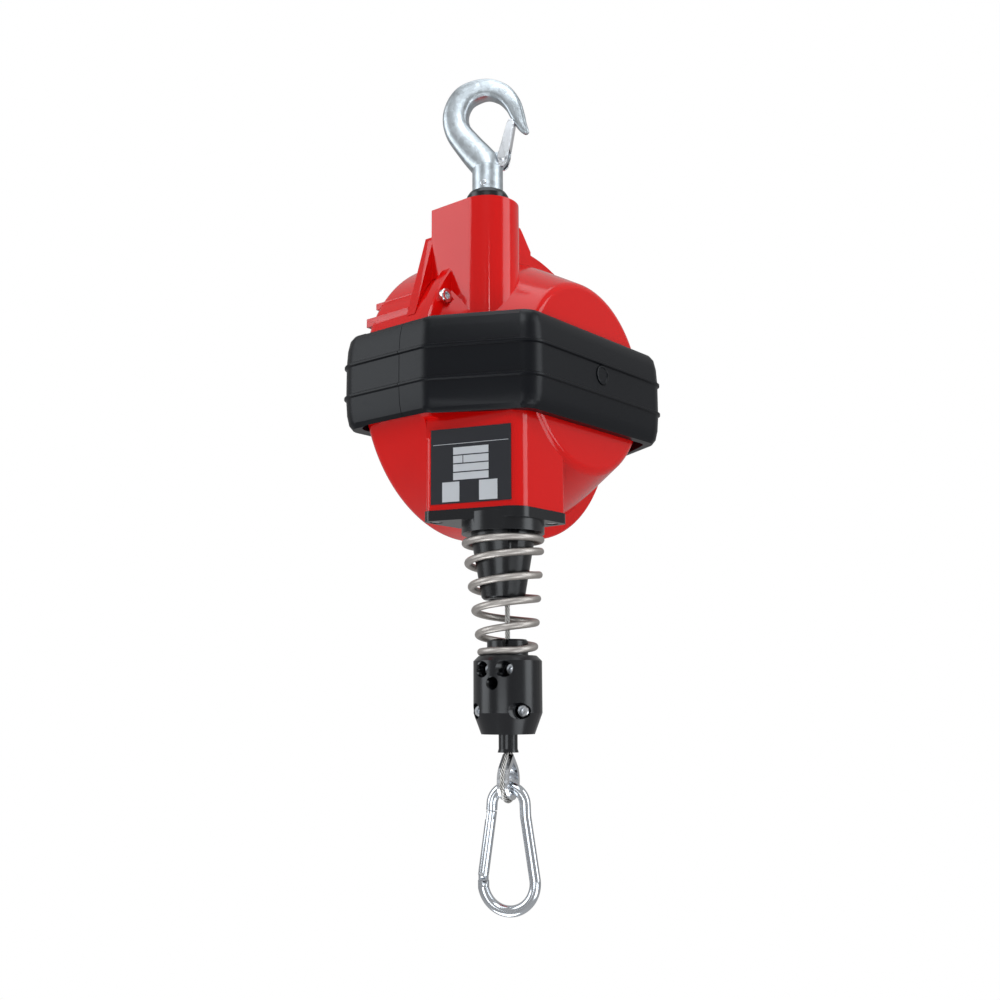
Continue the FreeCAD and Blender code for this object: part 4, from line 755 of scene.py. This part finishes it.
def sweep(tree, line, radius, sides):
    """Round section of the given radius swept along a curve, closed at both ends."""
    ring = tree.nodes.new("GeometryNodeCurvePrimitiveCircle")
    ring.inputs["Resolution"].default_value = sides
    tree.links.new(radius, ring.inputs["Radius"])
    pipe = tree.nodes.new("GeometryNodeCurveToMesh")
    tree.links.new(line, pipe.inputs["Curve"])
    tree.links.new(ring.outputs[0], pipe.inputs["Profile Curve"])
    pipe.inputs["Fill Caps"].default_value = True
    shade = tree.nodes.new("GeometryNodeSetShadeSmooth")
    tree.links.new(pipe.outputs[0], shade.inputs["Geometry"])
    return shade.outputs[0]


# %% [markdown]
# ## Bumper spring
# The spring is a cone: its wide end lies under the guide's collar, its narrow end on the buffer. Both end
# turns lie nearly flat. One tree works out radius, height and centre from the turn number.

# %% Bumper spring tree
SPRING_POINTS = 360
SPRING_START = math.radians(129)     # where the wire's lower end lies
SPRING_SIDES = 20


def spring_tree():
    sizes = [("Wire Radius", 0.0019), ("Foot Radius", 0.0156), ("Top Radius", 0.0225), ("Turns", 4.5),
             ("Foot Flat", 0.55), ("Top Flat", 0.95), ("Foot Height", -0.35), ("Top Height", -0.28),
             ("Foot Lead", 0.0004), ("Top Lead", 0.0036), ("Foot X", 0.014), ("Top X", 0.011)]
    tree, entry, result = geo_tree("conical_spring", sizes, FINISH["spring_steel"])
    get = entry.outputs
    line = tree.nodes.new("GeometryNodeCurvePrimitiveLine")
    more = tree.nodes.new("GeometryNodeResampleCurve")
    more.inputs["Count"].default_value = SPRING_POINTS
    tree.links.new(line.outputs[0], more.inputs["Curve"])
    along = tree.nodes.new("GeometryNodeSplineParameter").outputs["Factor"]
    total = math_node(tree, "ADD", math_node(tree, "ADD", get["Foot Flat"], get["Top Flat"]), get["Turns"])
    turn = math_node(tree, "MULTIPLY", along, total)

    def clamp01(value):
        return math_node(tree, "MINIMUM", math_node(tree, "MAXIMUM", value, 0.0), 1.0)

    past_foot = math_node(tree, "SUBTRACT", turn, get["Foot Flat"])
    share = clamp01(math_node(tree, "DIVIDE", past_foot, get["Turns"]))
    low = clamp01(math_node(tree, "DIVIDE", turn, get["Foot Flat"]))
    past_coils = math_node(tree, "SUBTRACT", past_foot, get["Turns"])
    high = clamp01(math_node(tree, "DIVIDE", past_coils, get["Top Flat"]))
    climb = math_node(tree, "SUBTRACT", math_node(tree, "SUBTRACT", get["Top Height"], get["Foot Height"]),
                      math_node(tree, "ADD", get["Foot Lead"], get["Top Lead"]))
    z = math_node(tree, "MULTIPLY_ADD", share, climb, get["Foot Height"])
    z = math_node(tree, "MULTIPLY_ADD", low, get["Foot Lead"], z)
    z = math_node(tree, "MULTIPLY_ADD", high, get["Top Lead"], z)
    widening = math_node(tree, "SUBTRACT", get["Top Radius"], get["Foot Radius"])
    r = math_node(tree, "MULTIPLY_ADD", share, widening, get["Foot Radius"])
    drift = math_node(tree, "SUBTRACT", get["Top X"], get["Foot X"])
    cx = math_node(tree, "MULTIPLY_ADD", share, drift, get["Foot X"])
    angle = math_node(tree, "MULTIPLY_ADD", turn, 2 * math.pi, SPRING_START)
    x = math_node(tree, "MULTIPLY_ADD", r, math_node(tree, "COSINE", angle), cx)
    y = math_node(tree, "MULTIPLY", r, math_node(tree, "SINE", angle))
    where = tree.nodes.new("ShaderNodeCombineXYZ")
    for i, value in enumerate((x, y, z)):
        tree.links.new(value, where.inputs[i])
    move = tree.nodes.new("GeometryNodeSetPosition")
    tree.links.new(more.outputs[0], move.inputs["Geometry"])
    tree.links.new(where.outputs[0], move.inputs["Position"])
    tree.links.new(sweep(tree, move.outputs[0], get["Wire Radius"], SPRING_SIDES), result)
    return tree


# %% Bumper spring
def empty_base(name):
    return link(bpy.data.objects.new(name, bpy.data.meshes.new(name)))


low_corner, high_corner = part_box("bumper_spring")
WIRE = 2.15 * MM
spring = run_tree(empty_base("spring_base"), spring_tree(),
                  {"Wire Radius": WIRE, "Foot Height": low_corner[2] + WIRE, "Top Height": high_corner[2] - WIRE},
                  "bumper_spring_wire")
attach(spring, "load")
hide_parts("bumper_spring")
print("spring faces", len(spring.data.polygons))

# %% [markdown]
# ## Wire rope
# Six strands lie round a core. The tree copies the rope's line six times, gives each copy its own phase
# and winds it round the line, so any stretch of rope can use it. It also notes how far out each point of a
# strand lies, and the finish paints shade into the grooves by it.

# %% Strand tree
STRAND_COUNT = 6
STRAND_SIDES, CORE_SIDES = 12, 8
CROWN_SHARPNESS = 1.5


def strand_tree():
    sizes = [("Strand Radius", 0.00046), ("Lay Radius", 0.00104), ("Lay Length", 0.0135), ("Step", 0.0007)]
    tree, entry, result = geo_tree("stranded_rope", sizes, FINISH["wire_rope"])
    get = entry.outputs
    route = tree.nodes.new("GeometryNodeMeshToCurve")
    tree.links.new(get["Geometry"], route.inputs["Mesh"])
    dots = tree.nodes.new("GeometryNodeResampleCurve")
    dots.mode = "LENGTH"
    tree.links.new(route.outputs[0], dots.inputs["Curve"])
    tree.links.new(get["Step"], dots.inputs["Length"])
    axis_place = tree.nodes.new("GeometryNodeCaptureAttribute")
    axis_place.capture_items.new("VECTOR", "Axis")
    tree.links.new(dots.outputs[0], axis_place.inputs["Geometry"])
    here = tree.nodes.new("GeometryNodeInputPosition").outputs[0]
    tree.links.new(here, axis_place.inputs["Axis"])
    many = tree.nodes.new("GeometryNodeDuplicateElements")
    many.domain = "SPLINE"
    many.inputs["Amount"].default_value = STRAND_COUNT
    tree.links.new(axis_place.outputs["Geometry"], many.inputs["Geometry"])
    phase = math_node(tree, "MULTIPLY", many.outputs["Duplicate Index"], 2 * math.pi / STRAND_COUNT)
    length = tree.nodes.new("GeometryNodeSplineParameter").outputs["Length"]
    turns = math_node(tree, "DIVIDE", length, get["Lay Length"])
    angle = math_node(tree, "MULTIPLY_ADD", turns, -2 * math.pi, phase)
    normal = tree.nodes.new("GeometryNodeInputNormal").outputs[0]
    tangent = tree.nodes.new("GeometryNodeInputTangent").outputs[0]
    side = vec_math(tree, "CROSS_PRODUCT", tangent, normal)
    along_normal = math_node(tree, "MULTIPLY", math_node(tree, "COSINE", angle), get["Lay Radius"])
    along_side = math_node(tree, "MULTIPLY", math_node(tree, "SINE", angle), get["Lay Radius"])
    shift = vec_math(tree, "ADD", vec_math(tree, "SCALE", normal, scale=along_normal),
                     vec_math(tree, "SCALE", side, scale=along_side))
    move = tree.nodes.new("GeometryNodeSetPosition")
    tree.links.new(many.outputs[0], move.inputs["Geometry"])
    tree.links.new(shift, move.inputs["Offset"])
    strands = sweep(tree, move.outputs[0], get["Strand Radius"], STRAND_SIDES)
    # how far out each point of a strand lies, kept as crown, by which the finish paints shade into the grooves
    reach = tree.nodes.new("ShaderNodeVectorMath")
    reach.operation = "DISTANCE"
    tree.links.new(tree.nodes.new("GeometryNodeInputPosition").outputs[0], reach.inputs[0])
    tree.links.new(axis_place.outputs["Axis"], reach.inputs[1])
    beyond = math_node(tree, "SUBTRACT", reach.outputs["Value"], get["Lay Radius"])
    crown = math_node(tree, "MAXIMUM", math_node(tree, "DIVIDE", beyond, get["Strand Radius"]), 0.0)
    note = tree.nodes.new("GeometryNodeStoreNamedAttribute")
    note.data_type = "FLOAT"
    note.domain = "POINT"
    note.inputs["Name"].default_value = "crown"
    tree.links.new(strands, note.inputs["Geometry"])
    tree.links.new(math_node(tree, "POWER", crown, CROWN_SHARPNESS), note.inputs["Value"])
    core = sweep(tree, dots.outputs[0], get["Strand Radius"], CORE_SIDES)
    both = tree.nodes.new("GeometryNodeJoinGeometry")
    tree.links.new(note.outputs[0], both.inputs[0])
    tree.links.new(core, both.inputs[0])
    tree.links.new(both.outputs[0], result)
    return tree


STRANDS = strand_tree()
print("strand tree nodes:", len(STRANDS.nodes))


# %% Rope on a smooth route
def rope_line(name, points):
    """Line of a smooth spline steered by the given points in metres, as a mesh of edges."""
    data = bpy.data.curves.new(name, "CURVE")
    data.dimensions = "3D"
    spline = data.splines.new("NURBS")
    spline.points.add(len(points) - 1)
    for dot, point in zip(spline.points, points):
        dot.co = (*point, 1.0)
    spline.order_u = 3
    spline.use_endpoint_u = True
    spline.resolution_u = 12
    steer = link(bpy.data.objects.new(name + "_spline", data))
    mesh = bpy.data.meshes.new_from_object(steer)
    bpy.data.objects.remove(steer)
    return link(bpy.data.objects.new(name, mesh))


def strand_rope(name, points, body, node):
    piece = run_tree(rope_line(name + "_line", points), STRANDS, {}, name)
    if body:
        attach(piece, body)
    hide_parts(node)
    print(name, "faces", len(piece.data.polygons))
    return piece


# %% Rope between guide and buffer
run_low, run_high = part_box("rope_run")
ROPE_X = (run_low[0] + run_high[0]) / 2
run_middle = (ROPE_X, 0, (run_high[2] + run_low[2]) / 2)
run_top, run_foot = (ROPE_X, 0, run_high[2]), (ROPE_X, 0, run_low[2])
run = strand_rope("rope_run_strands", [run_top, run_middle, run_foot], None, "rope_run")
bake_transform(run)

# %% [markdown]
# ## Rope loop round the thimble
# The tail leaves the sleeve, opens round the eye and goes back up. A smooth spline with a few steering
# points carries the whole route, given in its own plane as side distance and height, then turned.

# %% Rope loop
LOOP_TURN = math.radians(110)
LOOP = [(0.0, -344.7), (0.2, -353.5), (1.75, -362.0), (1.75, -385.0), (1.75, -408.5), (10.2, -418.6),
        (11.4, -429.4), (4.5, -436.0), (-4.5, -436.0), (-11.4, -429.4), (-10.2, -418.6), (-1.75, -408.5),
        (-1.75, -396.0), (-1.75, -379.5)]
route = [(ROPE_X + u * MM * math.cos(LOOP_TURN), u * MM * math.sin(LOOP_TURN), z * MM) for u, z in LOOP]
strand_rope("rope_loop_strands", route, "load", "rope_tail")

# %% [markdown]
# ## Socket screws
# One cap screw head is drawn as rings with a hexagon socket. The tree then puts a copy at every screw's
# place, turned along its axis.

# %% Screw head mesh
def hex_reach(angle, across):
    """Distance from the centre to a hexagon's side in a given direction."""
    return across / 2 / math.cos((angle % (math.pi / 3)) - math.pi / 6)


def screw_mesh(name, radius, height, across):
    """Round head with a rounded rim and a hexagon socket, along +Z from its seat."""
    sides = 36
    rim = 0.12 * radius
    socket = [hex_reach(2 * math.pi * i / sides, across) for i in range(sides)]
    rings = [([radius] * sides, 0), ([radius] * sides, height - rim), ([radius - rim] * sides, height),
             ([r * 1.12 for r in socket], height), (socket, height - 0.1 * radius), (socket, height * 0.45)]
    bm = bmesh.new()
    loops = [[bm.verts.new((r * c, r * s, z)) for r, (c, s) in zip(reach, circle(sides))] for reach, z in rings]
    for a, b in zip(loops, loops[1:]):
        for i in range(sides):
            bm.faces.new((a[i], a[(i + 1) % sides], b[(i + 1) % sides], b[i]))
    bm.faces.new(list(reversed(loops[0])))
    centre = bm.verts.new((0, 0, height * 0.35))
    for i in range(sides):
        bm.faces.new((loops[-1][i], loops[-1][(i + 1) % sides], centre))
    mesh = bpy.data.meshes.new(name)
    bm.to_mesh(mesh)
    bm.free()
    mesh.shade_smooth()
    mesh.set_sharp_from_angle(angle=math.radians(35))
    return mesh


# %% Screws on their places
def screw_tree(mesh_object):
    tree, entry, result = geo_tree("screws_on_places", [("Scale", 1.0)], FINISH["zinc_steel"])
    source = tree.nodes.new("GeometryNodeObjectInfo")
    source.inputs["Object"].default_value = mesh_object
    axis = tree.nodes.new("GeometryNodeInputNamedAttribute")
    axis.data_type = "FLOAT_VECTOR"
    axis.inputs["Name"].default_value = "axis"
    turn = tree.nodes.new("FunctionNodeAlignRotationToVector")
    turn.axis = "Z"
    tree.links.new(axis.outputs[0], turn.inputs["Vector"])
    put = tree.nodes.new("GeometryNodeInstanceOnPoints")
    tree.links.new(entry.outputs["Geometry"], put.inputs["Points"])
    tree.links.new(source.outputs["Geometry"], put.inputs["Instance"])
    tree.links.new(turn.outputs[0], put.inputs["Rotation"])
    tree.links.new(entry.outputs["Scale"], put.inputs["Scale"])
    tree.links.new(put.outputs[0], result)
    return tree


def put_screws(name, node, places, radius, height, across):
    head = link(bpy.data.objects.new(name + "_head", screw_mesh(name + "_head", radius, height, across)))
    mesh = bpy.data.meshes.new(name + "_places")
    mesh.from_pydata([p for p, d in places], [], [])
    headings = [c for p, d in places for c in d]
    mesh.attributes.new("axis", "FLOAT_VECTOR", "POINT").data.foreach_set("vector", headings)
    base = link(bpy.data.objects.new(name + "_places", mesh))
    piece = run_tree(base, screw_tree(head), {}, name)
    bpy.data.objects.remove(head)
    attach(piece, BODY_OF[node])
    print(name, "screws", len(places), "faces", len(piece.data.polygons))
    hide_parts(node)


# %% Buffer screws
BUFFER_TURN = math.radians(12)
BUFFER_SEAT = 4.8            # the heads' seats, this far in front of the rope
BUFFER_SCREWS = ((7.0, -362.0), (13.9, -385.5))      # distance from the middle, height
buffer_out = Vector((math.sin(BUFFER_TURN), -math.cos(BUFFER_TURN), 0))
buffer_side = Vector((math.cos(BUFFER_TURN), math.sin(BUFFER_TURN), 0))
buffer_places = []
for side, z in BUFFER_SCREWS:
    for sign in (-1, 1):
        seat = Vector((ROPE_X, 0, z * MM)) + buffer_side * sign * side * MM + buffer_out * BUFFER_SEAT * MM
        buffer_places.append((tuple(seat), tuple(buffer_out)))
put_screws("buffer_cap_screws", "buffer_screws", buffer_places, 3.5 * MM, 4.0 * MM, 3.0 * MM)

# %% Cover screws
COVER_RING = 91.0            # radius of the ring of screws about the drum's axis
COVER_SEAT = -13.0
cover_places = []
for degrees in (28, 90, 151, 190, 270, 332):
    y = DRUM_Y + COVER_RING * math.cos(math.radians(degrees))
    z = DRUM_Z + COVER_RING * math.sin(math.radians(degrees))
    cover_places.append(((COVER_SEAT * MM, y * MM, z * MM), (1.0, 0.0, 0.0)))
put_screws("cover_cap_screws", "cover_screws", cover_places, 4.5 * MM, 3.0 * MM, 4.0 * MM)

# %% [markdown]
# ## Data plate
# A thin dark plate with blank pale fields stands where the real one is printed. It carries no words. The
# plate's own solid stays, and the fields are a second mesh a hair above it.

# %% Plate fields
PLATE_SLANT = math.radians(18)
plate_out = Vector((math.sin(PLATE_SLANT), -math.cos(PLATE_SLANT), 0))
plate_left = Vector((-math.cos(PLATE_SLANT), -math.sin(PLATE_SLANT), 0))
PLATE_W, PLATE_TOP, PLATE_RIGHT = 51.0, -220.5, -14.0
BOX_X, PLATE_OUT = 11.0, 22.0        # the guide box's own axis, and the plate's distance from it
FIELD_OUT = 0.53                     # the fields' height above the plate's back
FIELDS = [(1.5, 9.2, 49.5, 9.5), (14.5, 11.6, 37, 16.0), (14.5, 16.7, 20.5, 21.1), (21, 16.7, 37, 21.1),
          (14.5, 21.8, 37, 26.2), (14.5, 26.9, 37, 31.2), (7.5, 32.2, 18.5, 44), (31, 32.2, 42.5, 44)]


def plate_point(u, v, out):
    """Point on the plate: u from its left edge, v down from its top edge, in millimetres."""
    left = PLATE_RIGHT + PLATE_W - u
    base = Vector((BOX_X, 0, PLATE_TOP - v)) + plate_out * (PLATE_OUT + out) + plate_left * left
    return base * MM


verts, faces = [], []
for u0, v0, u1, v1 in FIELDS:
    start = len(verts)
    verts += [plate_point(u, v, FIELD_OUT) for u, v in ((u0, v0), (u0, v1), (u1, v1), (u1, v0))]
    faces.append((start, start + 1, start + 2, start + 3))
field_mesh = bpy.data.meshes.new("plate_fields")
field_mesh.from_pydata(verts, [], faces)
field_mesh.materials.append(FINISH["plate_white"])
fields = link(bpy.data.objects.new("plate_fields", field_mesh))
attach(fields, "housing")
print("blank fields", len(FIELDS))
